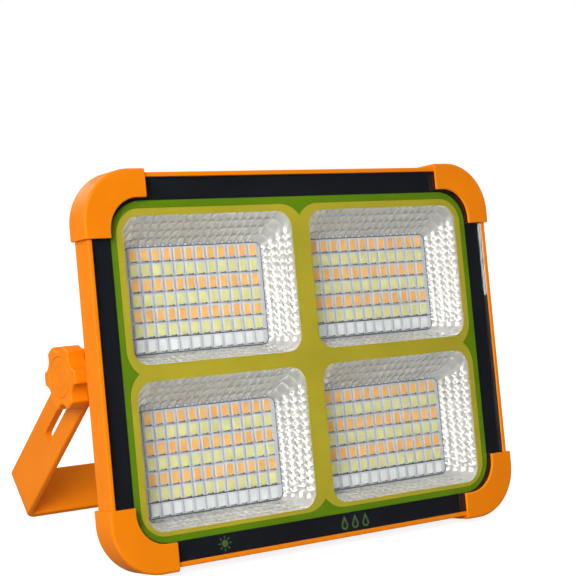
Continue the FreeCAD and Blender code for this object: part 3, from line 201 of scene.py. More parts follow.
def clear(name, tint, roughness, index):
    """Clear sheet that lamps shine through, so that what is behind it is lit."""
    shader = Shader(name, tint, roughness, Transmission_Weight=1.0, IOR=index)
    shader.bump(shader.noise(45.0, 1.0), 0.05, 0.05)
    shader.link(shader.spread(shader.noise(18.0, 4.0), roughness, roughness + 0.02), "Roughness")
    path = shader.node("LightPath").outputs["Is Shadow Ray"]
    through = shader.node("BsdfTransparent", {"Color": (*tint, 1.0)}).outputs["BSDF"]
    mixed = shader.node("MixShader", {0: path, 1: shader.principled.outputs["BSDF"], 2: through})
    output = shader.tree.nodes["Material Output"]
    shader.tree.links.new(mixed.outputs["Shader"], output.inputs["Surface"])
    return shader.material


def phosphor(name, colour):
    """Silicone filled with phosphor powder: waxy, grainy and a little uneven from chip to chip."""
    shader = Shader(name, colour, 0.38, Subsurface_Weight=0.08, Subsurface_Scale=0.0005)
    shader.tint(shader.noise(7.0, 1.0), 0.9, 1.08)
    shader.link(shader.spread(shader.noise(1.1), 0.28, 0.5), "Roughness")
    shader.bump(shader.noise(0.25, 2.0), 0.02, 0.5)
    return shader.material


def silicon():
    """Polycrystalline silicon: blue crystal flakes that each catch the light in their own way."""
    shader = Shader("silicon_wafer", (0.012, 0.022, 0.075), 0.3, Coat_Weight=0.5)
    flakes = shader.node("TexVoronoi", {"Vector": shader.place, "Scale": 260.0}).outputs["Color"]
    grey = shader.node("SeparateColor", {"Color": flakes}).outputs["Red"]
    shader.tint(grey, 0.55, 1.7)
    shader.link(shader.spread(grey, 0.22, 0.42), "Roughness")
    shader.bump(shader.noise(0.6), 0.004, 0.3)
    return shader.material


def foam_rubber():
    """Closed-cell foam with small pits."""
    shader = Shader("foam_rubber", (0.02, 0.02, 0.022), 0.85)
    cells = shader.node("TexVoronoi", {"Vector": shader.place, "Scale": 1400.0}).outputs["Distance"]
    shader.bump(cells, 0.12)
    shader.tint(shader.noise(2.0), 0.8, 1.3)
    return shader.material


def woven_sheet():
    """White glass-fibre backsheet with a fine square weave."""
    shader = Shader("white_backsheet", (0.86, 0.88, 0.9), 0.5)
    warp = shader.node("TexWave", {"Vector": shader.place, "Scale": 160.0}, bands_direction="X")
    weft = shader.node("TexWave", {"Vector": shader.place, "Scale": 160.0}, bands_direction="Z")
    both = shader.node("Math", {0: warp.outputs["Fac"], 1: weft.outputs["Fac"]}, operation="MAXIMUM")
    shader.bump(both.outputs["Value"], 0.03, 0.4)
    shader.tint(shader.noise(20.0), 0.96, 1.03)
    return shader.material


ORANGE = (0.98, 0.25, 0.003)
FINISHES = {
    "orange_plastic": moulded("orange_casing", ORANGE, 0.36, Specular_IOR_Level=0.1),
    "guard_plastic": moulded("orange_guard", ORANGE, 0.42, 0.4, 0.03, Specular_IOR_Level=0.1),
    "clear_panel": clear("clear_acrylic", (0.99, 1.0, 0.995), 0.0, 1.49),
    "printed_film": film("black_print", (0.006, 0.007, 0.010)),
    "foam": foam_rubber(),
    "silicone": moulded("grey_silicone", (0.42, 0.42, 0.4), 0.55, 0.8),
    "metallised": metallised(),
    "led_board": moulded("white_solder_mask", (0.5, 0.515, 0.56), 0.4, 0.3, 0.01),
    "warm_phosphor": phosphor("warm_phosphor", (0.82, 0.42, 0.12)),
    "daylight_phosphor": phosphor("daylight_phosphor", (0.64, 0.61, 0.24)),
    "clear_chip": phosphor("clear_silicone", (0.66, 0.67, 0.66)),
    "aluminium_plate": metal("rolled_aluminium", (0.8, 0.81, 0.82), 0.35),
    "solar_sheet": woven_sheet(),
    "wafer": silicon(),
    "solar_cover": clear("clear_laminate", (0.97, 0.98, 1.0), 0.02, 1.45),
    "battery_wrap": moulded("battery_wrap", (0.02, 0.12, 0.4), 0.3),
    "nickel": metal("nickel_strip", (0.72, 0.68, 0.6), 0.3),
    "white_nylon": moulded("white_nylon", (0.76, 0.75, 0.7), 0.5),
    "black_plastic": moulded("black_plastic", (0.012, 0.012, 0.013), 0.45),
    "circuit": moulded("green_board", (0.01, 0.12, 0.04), 0.35),
    "zinc_steel": metal("zinc_plated_steel", (0.66, 0.67, 0.69), 0.3),
    "orange_rubber": moulded("orange_rubber", (0.85, 0.2, 0.006), 0.6, 0.6, 0.04),
    "light_bar": moulded("frosted_bar", (0.85, 0.86, 0.84), 0.5),
}
GREEN_PRINT = film("green_print", (0.09, 0.175, 0.002))
OLIVE_PRINT = film("olive_print", (0.345, 0.285, 0.02))
MARK_PRINT = film("dark_green_mark", (0.06, 0.11, 0.035))
PACKAGE = moulded("chip_package", (0.52, 0.53, 0.56), 0.4, 0.3, 0.01)
# Dark material for the chips' own corner marks, for the line above the signal row, and for the dark lines of
# painted shade in the chip gaps, under the cups and round the boards
DARK_MARK_AND_SHADE = moulded("chip_mark_and_painted_shade", (0.05, 0.05, 0.055), 0.5, 0.3, 0.01)
SILVER_LINE = metal("printed_silver", (0.78, 0.79, 0.82), 0.35)


# ---------------------------------------------------------------- mesh helpers

SHARP_TURN = 35.0       # degrees between two faces, from which their edge counts as sharp
FLAT_TURN = 0.6         # degrees under which two faces are one flat face
SAME_POINT = 0.01       # mm between two points of an outline that count as one
WELD_REACH = 2e-6       # metres between two mesh points that count as one


def rounded(wide, tall, corner, middle=(0.0, 0.0), steps=8):
    """Points of a rounded rectangle, anticlockwise as the viewer sees the face."""
    points = []
    for turn, (side, level) in enumerate(QUADRANTS):
        centre_x = middle[0] + side * (wide / 2 - corner)
        centre_y = middle[1] + level * (tall / 2 - corner)
        for step in range(steps + 1):
            angle = math.radians(90 * (turn + step / steps))
            points.append((centre_x + corner * math.cos(angle), centre_y + corner * math.sin(angle)))
    return points


def add_piece(name, points, faces, material, body, replaces=(), slot=None, smooth_angle=SHARP_TURN):
    """Mesh object made from points in the head's millimetres, riding on a body of the lamp."""
    mesh = bpy.data.meshes.new(name)
    mesh.from_pydata([HEAD @ Vector(point) for point in points], [], faces)
    mesh.materials.append(material)
    finish_piece(name, mesh, body, replaces, smooth_angle)


def finish_piece(name, mesh, body, replaces=(), smooth_angle=SHARP_TURN):
    """Object for a mesh in the row frame: shaded, riding on its body and standing for its CAD nodes."""
    work = bmesh.new()
    work.from_mesh(mesh)
    shade(work, smooth_angle)
    work.to_mesh(mesh)
    work.free()
    piece = bpy.data.objects.new(name, mesh)
    bpy.context.scene.collection.objects.link(piece)
    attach(piece, body)
    if replaces:
        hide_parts(*replaces)
    return piece


def shade(work, smooth_angle):
    """Smooth faces, with the edges that turn by more than smooth_angle kept sharp."""
    for face in work.faces:
        face.smooth = True
    for edge in work.edges:
        edge.smooth = len(edge.link_faces) == 2 and edge.calc_face_angle(0) < math.radians(smooth_angle)


def slab(outline, holes, front, back):
    """Points and faces of a flat sheet with holes, between two heights over the panel's face."""
    loops = [list(outline)] + [list(hole) for hole in holes]
    flat = [point for loop in loops for point in loop]
    count = len(flat)
    points = [(x, y, front) for x, y in flat] + [(x, y, back) for x, y in flat]
    triangles = tessellate_polygon([[Vector((x, y, 0)) for x, y in loop] for loop in loops])
    faces = []
    for a, b, c in triangles:
        lift = (flat[b][0] - flat[a][0]) * (flat[c][1] - flat[a][1])
        fall = (flat[c][0] - flat[a][0]) * (flat[b][1] - flat[a][1])
        if lift < fall:
            b, c = c, b
        faces.append((a, b, c))
        faces.append((count + a, count + c, count + b))
    start = 0
    for index, loop in enumerate(loops):
        size = len(loop)
        for step in range(size):
            here, there = start + step, start + (step + 1) % size
            wall = (here, count + here, count + there, there)
            faces.append(wall if index == 0 else wall[::-1])
        start += size
    return points, faces


def merge(parts):
    """Several (points, faces) pairs as one."""
    points, faces = [], []
    for part_points, part_faces in parts:
        start = len(points)
        points.extend(part_points)
        faces.extend(tuple(start + index for index in face) for face in part_faces)
    return points, faces


def softened(node, width_mm, material, body):
    """Shows a copy of a CAD node, with its sharp edges rounded over, in the node's place."""
    mesh = frame["nodes"][node].data.copy()
    mesh.materials.clear()
    mesh.materials.append(material)
    work = bmesh.new()
    work.from_mesh(mesh)
    bmesh.ops.remove_doubles(work, verts=work.verts, dist=WELD_REACH)
    flat = math.radians(FLAT_TURN)
    bmesh.ops.dissolve_limit(work, angle_limit=flat, verts=work.verts, edges=work.edges)
    sharp = [edge for edge in work.edges
             if len(edge.link_faces) == 2 and abs(edge.calc_face_angle(0)) > math.radians(SHARP_TURN)]
    bmesh.ops.bevel(work, geom=sharp, offset=width_mm / 1000, offset_type="OFFSET", segments=2,
                    profile=0.5, affect="EDGES", clamp_overlap=False, harden_normals=False)
    work.to_mesh(mesh)
    work.free()
    piece = finish_piece(f"{node}_rounded", mesh, body, (node,))
    weighted = piece.modifiers.new("even_normals", "WEIGHTED_NORMAL")
    weighted.keep_sharp = True


# ---------------------------------------------------------------- printed film behind the panel

GREEN_WIDE, GREEN_TALL, GREEN_ROUND, GREEN_Y = 180.4, 133.9, 14.0, -0.5
OLIVE_SIDE, OLIVE_ROUND = 3.0, 10.5
OLIVE_TOP, OLIVE_BOTTOM = 63.4, -64.9
NOTCH_ROUND, NOTCH_REACH = 12.0, 9.6
NOTCH_STEPS = 8
INK_FRONT, INK_BACK = -FILM - 0.03, -FILM - 0.22


def olive_outline():
    """Outline around all four windows, with a notch between two windows on each side."""
    half_wide = WINDOW_X + WINDOW_WIDE / 2 + OLIVE_SIDE
    middle_y = -WINDOW_DROP
    start = math.asin(NOTCH_REACH / NOTCH_ROUND)
    points = []
    for side, level in QUADRANTS:
        edge = OLIVE_TOP if level > 0 else OLIVE_BOTTOM
        quarter = []
        arcs = (
            (side * (half_wide - NOTCH_ROUND), middle_y + level * NOTCH_REACH, NOTCH_ROUND, -start, 0.0),
            (side * (half_wide - OLIVE_ROUND), edge - level * OLIVE_ROUND, OLIVE_ROUND, 0.0, math.pi / 2),
            (side * NOTCH_REACH, edge - level * NOTCH_ROUND, NOTCH_ROUND, math.pi / 2, math.pi / 2 + start),
        )
        for centre_x, centre_y, radius, low, high in arcs:
            for step in range(NOTCH_STEPS + 1):
                angle = low + (high - low) * step / NOTCH_STEPS
                quarter.append((centre_x + side * radius * math.cos(angle),
                                centre_y + level * radius * math.sin(angle)))
        if side * level < 0:
            quarter.reverse()
        points.extend(quarter)
    return without_repeats(points)


def without_repeats(points):
    """Outline with the points left out that lie on the point before them."""
    kept = []
    for point in points:
        if not kept or math.dist(point, kept[-1]) > SAME_POINT:
            kept.append(point)
    if math.dist(kept[0], kept[-1]) <= SAME_POINT:
        kept.pop()
    return kept


def make_film():
    """Black border, green band and olive field, as three inks side by side on one film."""
    panel = rounded(PANEL_WIDE, PANEL_TALL, PANEL_ROUND)
    green = rounded(GREEN_WIDE, GREEN_TALL, GREEN_ROUND, (0.0, GREEN_Y))
    olive = olive_outline()
    holes = [rounded(WINDOW_WIDE, WINDOW_TALL, WINDOW_ROUND, middle) for middle in WINDOWS.values()]
    add_piece("film_border", *slab(panel, [green], INK_FRONT, INK_BACK), FINISHES["printed_film"],
              "lamp_head", ("printed_mask",), "printed_film")
    add_piece("film_green_band", *slab(green, [olive], INK_FRONT, INK_BACK), GREEN_PRINT, "lamp_head")
    add_piece("film_olive_field", *slab(olive, holes, INK_FRONT, INK_BACK), OLIVE_PRINT, "lamp_head")


MARK_FRONT, MARK_BACK = -FILM - 0.005, -FILM - 0.02
MARK_LEVEL = (GREEN_Y - GREEN_TALL / 2 - PANEL_TALL / 2) / 2        # middle of the black strip's height
LIGHT_X = -51.0
RAIN_X, RAIN_PITCH, RAIN_DROPS = 8.5, 5.5, 3


def sun_mark(middle, disc=1.45, ray_start=2.0, ray_end=3.1, ray_half=0.27, rays=8):
    """Plain light symbol: a disc with rays around it."""
    parts = [slab(rounded(2 * disc, 2 * disc, disc - 0.01, middle, 6), [], MARK_FRONT, MARK_BACK)]
    for ray in range(rays):
        angle = 2 * math.pi * ray / rays
        along = Vector((math.cos(angle), math.sin(angle)))
        across = Vector((-math.sin(angle), math.cos(angle)))
        corners = [Vector(middle) + along * reach + across * offset
                   for reach, offset in ((ray_start, -ray_half), (ray_end, -ray_half),
                                         (ray_end, ray_half), (ray_start, ray_half))]
        parts.append(slab([tuple(corner) for corner in corners], [], MARK_FRONT, MARK_BACK))
    return merge(parts)


def drop_mark(middle, height=6.0, radius=1.75, steps=20, hollow=0.55):
    """Plain rain symbol: the outline of a water drop, a circle with a tip over it."""
    centre = (middle[0], middle[1] - height / 2 + radius)
    open_angle = math.acos(radius / (height - radius))
    points = [(middle[0], middle[1] + height / 2)]
    for step in range(steps + 1):
        angle = math.pi / 2 + open_angle + (2 * math.pi - 2 * open_angle) * step / steps
        points.append((centre[0] + radius * math.cos(angle), centre[1] + radius * math.sin(angle)))
    inside = [(centre[0] + hollow * (x - centre[0]), centre[1] + hollow * (y - centre[1]))
              for x, y in points]
    return slab(points, [inside], MARK_FRONT, MARK_BACK)


def make_marks():
    """Plain symbols on the black border under the windows: a light on the left, rain on the right."""
    add_piece("mark_light", *sun_mark((LIGHT_X, MARK_LEVEL)), MARK_PRINT, "lamp_head")
    for index in range(RAIN_DROPS):
        middle = (RAIN_X + RAIN_PITCH * index, MARK_LEVEL)
        add_piece(f"mark_rain_{index + 1}", *drop_mark(middle), MARK_PRINT, "lamp_head")


# ---------------------------------------------------------------- reflectors

LONG_BEADS, SHORT_BEADS, BEAD_ROWS = 17, 13, 4
BEAD_STEPS, CORNER_STEPS = 10, 12
BEAD_REACH = 0.46       # radius of a round bead, as a share of the pitch
BEAD_SMOOTH = 60.0      # degrees between two faces that still look smooth
BEAD_DEPTH = {"long": 0.8, "short": 1.25, "corner": 0.7}
PILLOW_POWER, CORNER_POWER = 0.4, 0.7   # the smaller, the flatter the bead's middle
CORNER_ROWS, CORNER_RIBS = 0.5, 0.2     # shares of a corner's depth, from its rows and its upright ribs
REFLECTOR_TOP = -FILM - 0.25            # just behind the inks


def wall_loop(wide, tall, corner, middle):
    """Closed loop of (point, along, kind), sampled the same way at any size: top, left, bottom, right."""
    loop = []
    straight = ((LONG_BEADS, -1, 0), (SHORT_BEADS, 0, -1), (LONG_BEADS, 1, 0), (SHORT_BEADS, 0, 1))
    for turn, (beads, step_x, step_y) in enumerate(straight):
        side, level = QUADRANTS[turn]
        corner_x = middle[0] + side * (wide / 2 - corner)
        corner_y = middle[1] + level * (tall / 2 - corner)
        for step in range(CORNER_STEPS):
            angle = math.radians(90 * (turn + step / CORNER_STEPS))
            loop.append(((corner_x + corner * math.cos(angle), corner_y + corner * math.sin(angle)),
                         step / CORNER_STEPS, "corner"))
        start_x = corner_x + corner * math.cos(math.radians(90 * (turn + 1)))
        start_y = corner_y + corner * math.sin(math.radians(90 * (turn + 1)))
        reach = (wide if step_x else tall) - 2 * corner
        kind = "long" if step_x else "short"
        for step in range(beads * BEAD_STEPS):
            share = step / (beads * BEAD_STEPS)
            loop.append(((start_x + step_x * reach * share, start_y + step_y * reach * share),
                         share * beads, kind))
    return loop


def bead_depth(along, row, kind):
    """Share of the full depth of a bead at one place: pillows on long walls, round beads on short ones."""
    if kind == "long":
        across = abs(math.sin(math.pi * along))
        deep = abs(math.sin(math.pi * row))
        return (across * deep) ** PILLOW_POWER
    if kind == "short":
        shifted = along + 0.5 * (int(row) % 2)
        offset = math.hypot(shifted % 1.0 - 0.5, row % 1.0 - 0.5) / BEAD_REACH
        return math.sqrt(max(0.0, 1.0 - offset * offset))
    rows = abs(math.sin(math.pi * row)) ** CORNER_POWER
    return CORNER_ROWS * rows + CORNER_RIBS * math.sin(math.pi * 2 * along) ** 2


def make_reflector(name, middle):
    """One tapered reflector with beads pressed into its four walls."""
    mouth = wall_loop(WINDOW_WIDE, WINDOW_TALL, WINDOW_ROUND, middle)
    throat = wall_loop(THROAT_WIDE, THROAT_TALL, THROAT_ROUND, throat_middle(middle))
    depth_steps = BEAD_ROWS * BEAD_STEPS
    size = len(mouth)
    smooth = [[Vector((a[0] + (b[0] - a[0]) * share, a[1] + (b[1] - a[1]) * share,
                       REFLECTOR_TOP + (-BOARD - REFLECTOR_TOP) * share))
               for (a, _, _), (b, _, _) in zip(mouth, throat)]
              for share in (step / depth_steps for step in range(depth_steps + 1))]
    points = []
    for level, ring in enumerate(smooth):
        row = level / BEAD_STEPS
        for index, point in enumerate(ring):
            along = ring[(index + 1) % size] - ring[index - 1]
            below = smooth[min(level + 1, depth_steps)][index] - smooth[max(level - 1, 0)][index]
            inward = along.cross(below).normalized()
            kind = mouth[index][2]
            depth = bead_depth(mouth[index][1], row, kind) * BEAD_DEPTH[kind]
            if level in (0, depth_steps):
                depth = 0.0
            points.append(point - inward * depth)
    faces = []
    for level in range(depth_steps):
        for index in range(size):
            here, there = level * size + index, level * size + (index + 1) % size
            faces.append((here, here + size, there + size, there))
    add_piece(f"beads_{name}", points, faces, FINISHES["metallised"], "lamp_head",
              (f"reflector_{name}",), "metallised", BEAD_SMOOTH)


# ---------------------------------------------------------------- LED chips

SIGNAL_ROW = ROWS - 1
CUP_SHIFT, CUP_SUNK, CUP_PROUD = 0.35, 0.1, 0.06
# The second place, size and edge in each pair below are for a dark line under the cup's lower edge, which is
# painted shade; the first are for the chip's own dark corner mark
MARK_PLACE, LOWER_SHADE_PLACE = (0.95, -2.45), (-0.25, -2.5)       # from the chip's middle
PACKAGE_SIDES, CUP_SIDES, MARK_SIDES, LOWER_SHADE_SIDES = (4.5, 5.45), (3.05, 4.6), (0.75, 0.6), (2.3, 0.22)
PACKAGE_EDGE, CUP_EDGE, MARK_EDGE, LOWER_SHADE_EDGE = (0.12, 0.3), (0.1, 0.6), (0.05, 0.1), (0.03, 0.05)
# Width of the dark strip laid on the board in the gap left of each package: painted shade, standing for the shadow
# between packages
GAP_SHADE_WIDE = 0.16


def chip_rows():
    """Which finish each row of chips has, from the top."""
    kinds = ["warm" if row % 2 == 0 else "daylight" for row in range(ROWS - 1)]
    return kinds + ["signal"]


def frustum(middle, wide, tall, low, high, inset, corner):
    """Rounded block, open underneath, whose upper edge is drawn in by inset."""
    lower = rounded(wide, tall, corner, middle, 2)
    upper = rounded(wide - 2 * inset, tall - 2 * inset, max(corner - inset, 0.05), middle, 2)
    size = len(lower)
    points = ([(x, y, low) for x, y in lower] + [(x, y, high - inset) for x, y in lower]
              + [(x, y, high) for x, y in upper])
    faces = [tuple(2 * size + index for index in range(size))]
    for level in range(2):
        for index in range(size):
            here, there = level * size + index, level * size + (index + 1) % size
            faces.append((here, there, there + size, here + size))
    return points, faces


def make_chips():
    """Three kinds of chip in all four windows: package, filled cup, a dark corner mark, and dark lines of painted
    shade under the cup and in the gap beside it.
    """
    cup_low, cup_high = -CHIP_FRONT - CUP_SUNK, -CHIP_FRONT + CUP_PROUD
    mark_and_shade_high = -CHIP_FRONT + CUP_PROUD / 2
    packages, marks_and_shade, gap_shade_strips = [], [], []
    cups = {"warm": [], "daylight": [], "signal": []}
    for middle in WINDOWS.values():
        board_x, board_y = throat_middle(middle)
        for row, kind in enumerate(chip_rows()):
            for column in range(COLUMNS):
                x = board_x + (column - (COLUMNS - 1) / 2) * PITCH_X
                y = board_y + ((ROWS - 1) / 2 - row) * PITCH_Y
                mark = (x + MARK_PLACE[0], y + MARK_PLACE[1])
                lower_shade = (x + LOWER_SHADE_PLACE[0], y + LOWER_SHADE_PLACE[1])
                packages.append(frustum((x, y), *PACKAGE_SIDES, -BOARD, -CHIP_FRONT, *PACKAGE_EDGE))
                cups[kind].append(frustum((x - CUP_SHIFT, y), *CUP_SIDES, cup_low, cup_high, *CUP_EDGE))
                marks_and_shade.append(frustum(mark, *MARK_SIDES, cup_low, mark_and_shade_high, *MARK_EDGE))
                # Dark line under the cup: painted shade
                marks_and_shade.append(frustum(lower_shade, *LOWER_SHADE_SIDES, cup_low, mark_and_shade_high, *LOWER_SHADE_EDGE))
                # Dark strip in the gap left of the package: painted shade, not a part of the board
                gap_shade_outline = rounded(GAP_SHADE_WIDE, PACKAGE_SIDES[1], GAP_SHADE_WIDE / 4, (x - PITCH_X / 2, y), 1)
                gap_shade_strips.append(slab(gap_shade_outline, [], -BOARD + CUP_PROUD, -BOARD - CUP_PROUD))
    add_piece("chip_packages", *merge(packages), PACKAGE, "lamp_head",
              ("warm_leds", "daylight_leds", "signal_leds"))
    cup_slots = {"warm": "warm_phosphor", "daylight": "daylight_phosphor", "signal": "clear_chip"}
    for kind, slot in cup_slots.items():
        add_piece(f"chip_cups_{kind}", *merge(cups[kind]), FINISHES[slot], "lamp_head", (), slot)
    # Dark corner marks together with the painted shade lines under the cups
    add_piece("chip_marks_and_painted_shade", *merge(marks_and_shade), DARK_MARK_AND_SHADE, "lamp_head")
    add_piece("chip_gap_painted_shade", *merge(gap_shade_strips), DARK_MARK_AND_SHADE, "lamp_head")


# The dark line round each board is painted shade, standing for the shadowed gap where the reflector's throat meets
# the board
RIM_GAP, RIM_SHADE_WIDE = 0.05, 0.4           # gap to the throat's edge and width of the line round a board
ROW_LINE_GAP, ROW_LINE = 0.6, 0.3       # the same for the line above the signal row
LINE_FRONT, LINE_BACK = -BOARD + 0.03, -BOARD - 0.05


def make_board_lines():
    """Thin dark lines on each LED board: painted shade round its edge, where the reflector's throat meets the
    board, and a dark line above the signal row.
    """
    rim_inner = RIM_GAP + RIM_SHADE_WIDE
    parts = []
    for window_middle in WINDOWS.values():
        middle = throat_middle(window_middle)
        outer = rounded(THROAT_WIDE - 2 * RIM_GAP, THROAT_TALL - 2 * RIM_GAP, THROAT_ROUND, middle)
        inner = rounded(THROAT_WIDE - 2 * rim_inner, THROAT_TALL - 2 * rim_inner,
                        THROAT_ROUND - RIM_SHADE_WIDE, middle)
        parts.append(slab(outer, [inner], LINE_FRONT, LINE_BACK))
        line_y = middle[1] + ((ROWS - 1) / 2 - SIGNAL_ROW + 0.5) * PITCH_Y
        line = rounded(THROAT_WIDE - 2 * ROW_LINE_GAP, ROW_LINE, ROW_LINE / 3, (middle[0], line_y), 2)
        parts.append(slab(line, [], LINE_FRONT, LINE_BACK))
    add_piece("board_lines", *merge(parts), DARK_MARK_AND_SHADE, "lamp_head")


# ---------------------------------------------------------------- solar cells

WAFER_WIDE, WAFER_TALL, WAFER_GAP_X, WAFER_GAP_Y, WAFER_COLUMNS = 24.0, 44.4, 1.2, 2.0, 5
BUSBARS = {1: (0.29, 0.89), -1: (0.09, 0.70)}   # upper and lower row, in shares from a wafer's top
FINGER_PITCH, FINGER_WIDE, FINGER_END, FINGER_ROUND = 1.5, 0.12, 0.7, 0.05
BUSBAR_WIDE, BUSBAR_ROUND = 0.9, 0.1
SILVER_INNER, SILVER_OUTER = -WAFER_REAR - 0.02, -WAFER_REAR - 0.05


def make_cell_lines():
    """Silver fingers and busbars printed on the ten wafers."""
    parts = []
    for row, shares in BUSBARS.items():
        middle_y = row * (WAFER_TALL + WAFER_GAP_Y) / 2
        for column in range(WAFER_COLUMNS):
            middle_x = (column - (WAFER_COLUMNS - 1) / 2) * (WAFER_WIDE + WAFER_GAP_X)
            for finger in range(int(WAFER_WIDE / FINGER_PITCH) - 1):
                x = middle_x - WAFER_WIDE / 2 + FINGER_PITCH * (finger + 1)
                line = rounded(FINGER_WIDE, WAFER_TALL - 2 * FINGER_END, FINGER_ROUND, (x, middle_y), 1)
                parts.append(slab(line, [], SILVER_OUTER, SILVER_INNER))
            for share in shares:
                y = middle_y + WAFER_TALL * (0.5 - share)
                line = rounded(WAFER_WIDE, BUSBAR_WIDE, BUSBAR_ROUND, (middle_x, y), 1)
                parts.append(slab(line, [], SILVER_OUTER, SILVER_INNER))
    add_piece("cell_lines", *merge(parts), SILVER_LINE, "lamp_head")


# ---------------------------------------------------------------- casing

def make_casing():
    """Moulded parts and nuts with their sharp edges rounded over, in the place of their CAD nodes."""
    orange, guard, rubber = FINISHES["orange_plastic"], FINISHES["guard_plastic"], FINISHES["orange_rubber"]
    for node in ("front_frame", "back_flange", "rear_housing"):
        softened(node, 0.25, orange, "lamp_head")
    for name in WINDOWS:
        softened(f"corner_guard_{name}", 0.3, guard, "lamp_head")
    for side in ("left", "right"):
        softened(f"knob_{side}", 0.25, orange, f"knob_{side}_assembly")
        softened(f"knob_cap_{side}", 0.2, orange, f"knob_{side}_assembly")
        softened(f"pivot_nut_{side}", 0.4, FINISHES["zinc_steel"], "lamp_head")
    softened("port_cover", 0.2, rubber, "cover")
    softened("power_button", 0.2, rubber, "button")


FRAME_EDGE = 2.0                        # from the clear panel's edge to the frame's
SCREW_X, SCREW_Y = 19.0, 17.0           # from the clear panel's edge, along the frame
SCREW_INSET = 3.4                       # from the frame's edge
SCREW_RADIUS, SCREW_SEAT, SCREW_TOP = 2.6, 11.8, 13.1
SCREW_STEPS = 24
DOME_DRAWN_IN, DOME_TALL = 0.5, 0.45
CROSS_LONG, CROSS_WIDE, CROSS_DEEP, CROSS_FLOOR = 1.55, 0.5, 0.8, 0.1


def screw_head(middle):
    """Screw head seen from behind: a low dome with a cross recess."""
    angles = [2 * math.pi * step / SCREW_STEPS for step in range(SCREW_STEPS)]
    circle = [(math.cos(angle), math.sin(angle)) for angle in angles]
    ring = [(middle[0] + SCREW_RADIUS * x, middle[1] + SCREW_RADIUS * y) for x, y in circle]
    upper_radius = SCREW_RADIUS - DOME_DRAWN_IN
    upper = [(middle[0] + upper_radius * x, middle[1] + upper_radius * y) for x, y in circle]
    arm, half = CROSS_LONG, CROSS_WIDE / 2
    cross = [(middle[0] + x, middle[1] + y) for x, y in (
        (arm, half), (half, half), (half, arm), (-half, arm), (-half, half), (-arm, half),
        (-arm, -half), (-half, -half), (-half, -arm), (half, -arm), (half, -half), (arm, -half))]
    shoulder = SCREW_TOP - DOME_TALL
    cross_end = -SCREW_TOP + CROSS_DEEP
    top = slab(upper, [cross], cross_end, -SCREW_TOP)
    floor = slab(upper, [], cross_end + CROSS_FLOOR, cross_end)
    points = ([(x, y, -SCREW_SEAT) for x, y in ring] + [(x, y, -shoulder) for x, y in ring]
              + [(x, y, -SCREW_TOP) for x, y in upper])
    faces = []
    for level in range(2):
        for index in range(SCREW_STEPS):
            here, there = level * SCREW_STEPS + index, level * SCREW_STEPS + (index + 1) % SCREW_STEPS
            faces.append((here, here + SCREW_STEPS, there + SCREW_STEPS, there))
    return merge([(points, faces), top, floor])


def make_screws():
    """Two screws behind every corner guard."""
    heads = []
    for side, level in QUADRANTS:
        edge_x = side * (PANEL_WIDE / 2 + FRAME_EDGE - SCREW_INSET)
        edge_y = level * (PANEL_TALL / 2 + FRAME_EDGE - SCREW_INSET)
        heads.append(screw_head((side * (PANEL_WIDE / 2 - SCREW_X), edge_y)))
        heads.append(screw_head((edge_x, level * (PANEL_TALL / 2 - SCREW_Y))))
    add_piece("guard_screw_heads", *merge(heads), FINISHES["zinc_steel"], "lamp_head",
              ("guard_screws",), "zinc_steel")


def paint_nodes():
    """Give every CAD node that still shows the finish of its own slot."""
    for part in frame["record"]["subparts"]:
        node = frame["nodes"][part["node"]]
        node.data.materials.clear()
        node.data.materials.append(FINISHES[part["material_slot"]])


# ---------------------------------------------------------------- stage, lights and camera

CAMERA_PLACE = (-387.7, 4.2, 543.6)     # in the lamp head's millimetres
CAMERA_YAW, CAMERA_PITCH, CAMERA_ROLL = 34.79, 2.08, 5.32
CAMERA_LENS, CAMERA_SENSOR = 100.0, 36.0
CAMERA_NEAR, CAMERA_FAR = 0.01, 20.0


def make_camera():
    """Camera at the viewing angle of the lamp's picture, set from the head's own axes."""
    yaw, pitch, roll = (math.radians(angle) for angle in (CAMERA_YAW, CAMERA_PITCH, CAMERA_ROLL))
    forward = Vector((math.sin(yaw) * math.cos(pitch), math.sin(pitch), -math.cos(yaw) * math.cos(pitch)))
    level = Vector((math.cos(yaw), 0.0, math.sin(yaw)))
    rise = level.cross(forward)
    across = level * math.cos(roll) - rise * math.sin(roll)
    above = level * math.sin(roll) + rise * math.cos(roll)
    turn = HEAD.to_3x3() * 1000
    axes = Matrix((turn @ across, turn @ above, turn @ -forward)).transposed()
    data = bpy.data.cameras.new("camera")
    data.lens = CAMERA_LENS
    data.sensor_width = CAMERA_SENSOR
    data.clip_start, data.clip_end = CAMERA_NEAR, CAMERA_FAR
    camera = bpy.data.objects.new("camera", data)
    camera.matrix_world = Matrix.Translation(HEAD @ Vector(CAMERA_PLACE)) @ axes.to_4x4()
    bpy.context.scene.collection.objects.link(camera)
    bpy.context.scene.camera = camera


def area_light(name, place, target, size, power):
    """White soft box at a place, facing a target, with its size in metres and its power in watts."""
    data = bpy.data.lights.new(name, "AREA")
    data.shape = "RECTANGLE"
    data.size, data.size_y = size
    data.energy = power
    light = bpy.data.objects.new(name, data)
    light.location = place
    light.rotation_mode = "QUATERNION"
    light.rotation_quaternion = (Vector(target) - Vector(place)).to_track_quat("-Z", "Y")
    bpy.context.scene.collection.objects.link(light)


FLOOR_SIZE, FLOOR_DROP = 6.0, 0.0002    # metres; the floor lies a hair under the lamp
FLOOR_GLOW = 0.85                       # keeps the far floor as white as the near one


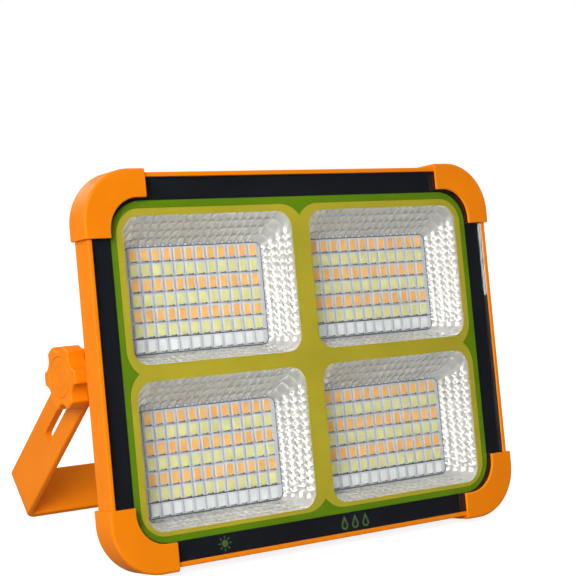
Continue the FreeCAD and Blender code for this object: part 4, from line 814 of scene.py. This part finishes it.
def make_stage():
    """Pale floor, white surroundings and soft boxes."""
    work = bmesh.new()
    bmesh.ops.create_grid(work, x_segments=4, y_segments=4, size=FLOOR_SIZE)
    mesh = bpy.data.meshes.new("floor")
    work.to_mesh(mesh)
    work.free()
    floor = bpy.data.objects.new("floor", mesh)
    floor.location = (0.0, 0.0, -FLOOR_DROP)
    shader = Shader("pale_floor", (0.35, 0.35, 0.35), 0.9, Emission_Color=(1.0, 1.0, 1.0, 1.0))
    shader.tint(shader.noise(400.0), 0.99, 1.01)
    seen = shader.node("LightPath").outputs["Is Camera Ray"]
    shader.link(shader.node("Math", {0: seen, 1: FLOOR_GLOW}, operation="MULTIPLY").outputs["Value"],
                "Emission Strength")
    mesh.materials.append(shader.material)
    bpy.context.scene.collection.objects.link(floor)

    make_world()
    middle = (0.0, 0.0, 0.08)
    area_light("key_box", (-0.7, -0.6, 0.55), middle, (0.5, 0.5), 9.0)
    area_light("side_box", (1.0, -0.1, 0.5), middle, (0.3, 0.6), 1.5)
    area_light("back_box", (-0.3, 0.9, 0.6), middle, (0.7, 0.5), 4.0)
    bpy.context.scene.view_settings.view_transform = "Standard"


DARK_SECTOR = (0.57, -0.78, 0.26)       # where the clear panel's reflections come from
DARK_FROM, DARK_TO = 0.72, 0.93         # cosines of the angle to it, between which the light fades
AMBIENT, DARK_AMBIENT = 0.4, 0.04


def make_world():
    """Surroundings: white to look at, an even dim light, and a dark sector in front of the panel."""
    world = bpy.data.worlds.new("studio")
    world.use_nodes = True
    tree = world.node_tree
    new, link = tree.nodes.new, tree.links.new
    direction = new("ShaderNodeTexCoord").outputs["Generated"]
    towards = new("ShaderNodeVectorMath")
    towards.operation = "DOT_PRODUCT"
    towards.inputs[1].default_value = DARK_SECTOR
    link(direction, towards.inputs[0])
    strength = new("ShaderNodeMapRange")
    strength.interpolation_type = "SMOOTHSTEP"
    for socket, number in (("From Min", DARK_FROM), ("From Max", DARK_TO),
                           ("To Min", AMBIENT), ("To Max", DARK_AMBIENT)):
        strength.inputs[socket].default_value = number
    link(towards.outputs["Value"], strength.inputs["Value"])
    lit = tree.nodes["Background"]
    lit.inputs["Color"].default_value = (1.0, 1.0, 1.0, 1.0)
    link(strength.outputs["Result"], lit.inputs["Strength"])
    seen = new("ShaderNodeBackground")
    seen.inputs["Color"].default_value = (1.0, 1.0, 1.0, 1.0)
    mixed = new("ShaderNodeMixShader")
    link(new("ShaderNodeLightPath").outputs["Is Camera Ray"], mixed.inputs[0])
    link(lit.outputs["Background"], mixed.inputs[1])
    link(seen.outputs["Background"], mixed.inputs[2])
    link(mixed.outputs["Shader"], tree.nodes["World Output"].inputs["Surface"])
    bpy.context.scene.world = world


# ---------------------------------------------------------------- the whole lamp

make_stage()
paint_nodes()
make_film()
make_marks()
for window, window_middle in WINDOWS.items():
    make_reflector(window, window_middle)
make_chips()
make_board_lines()
make_cell_lines()
make_casing()
make_screws()
make_camera()
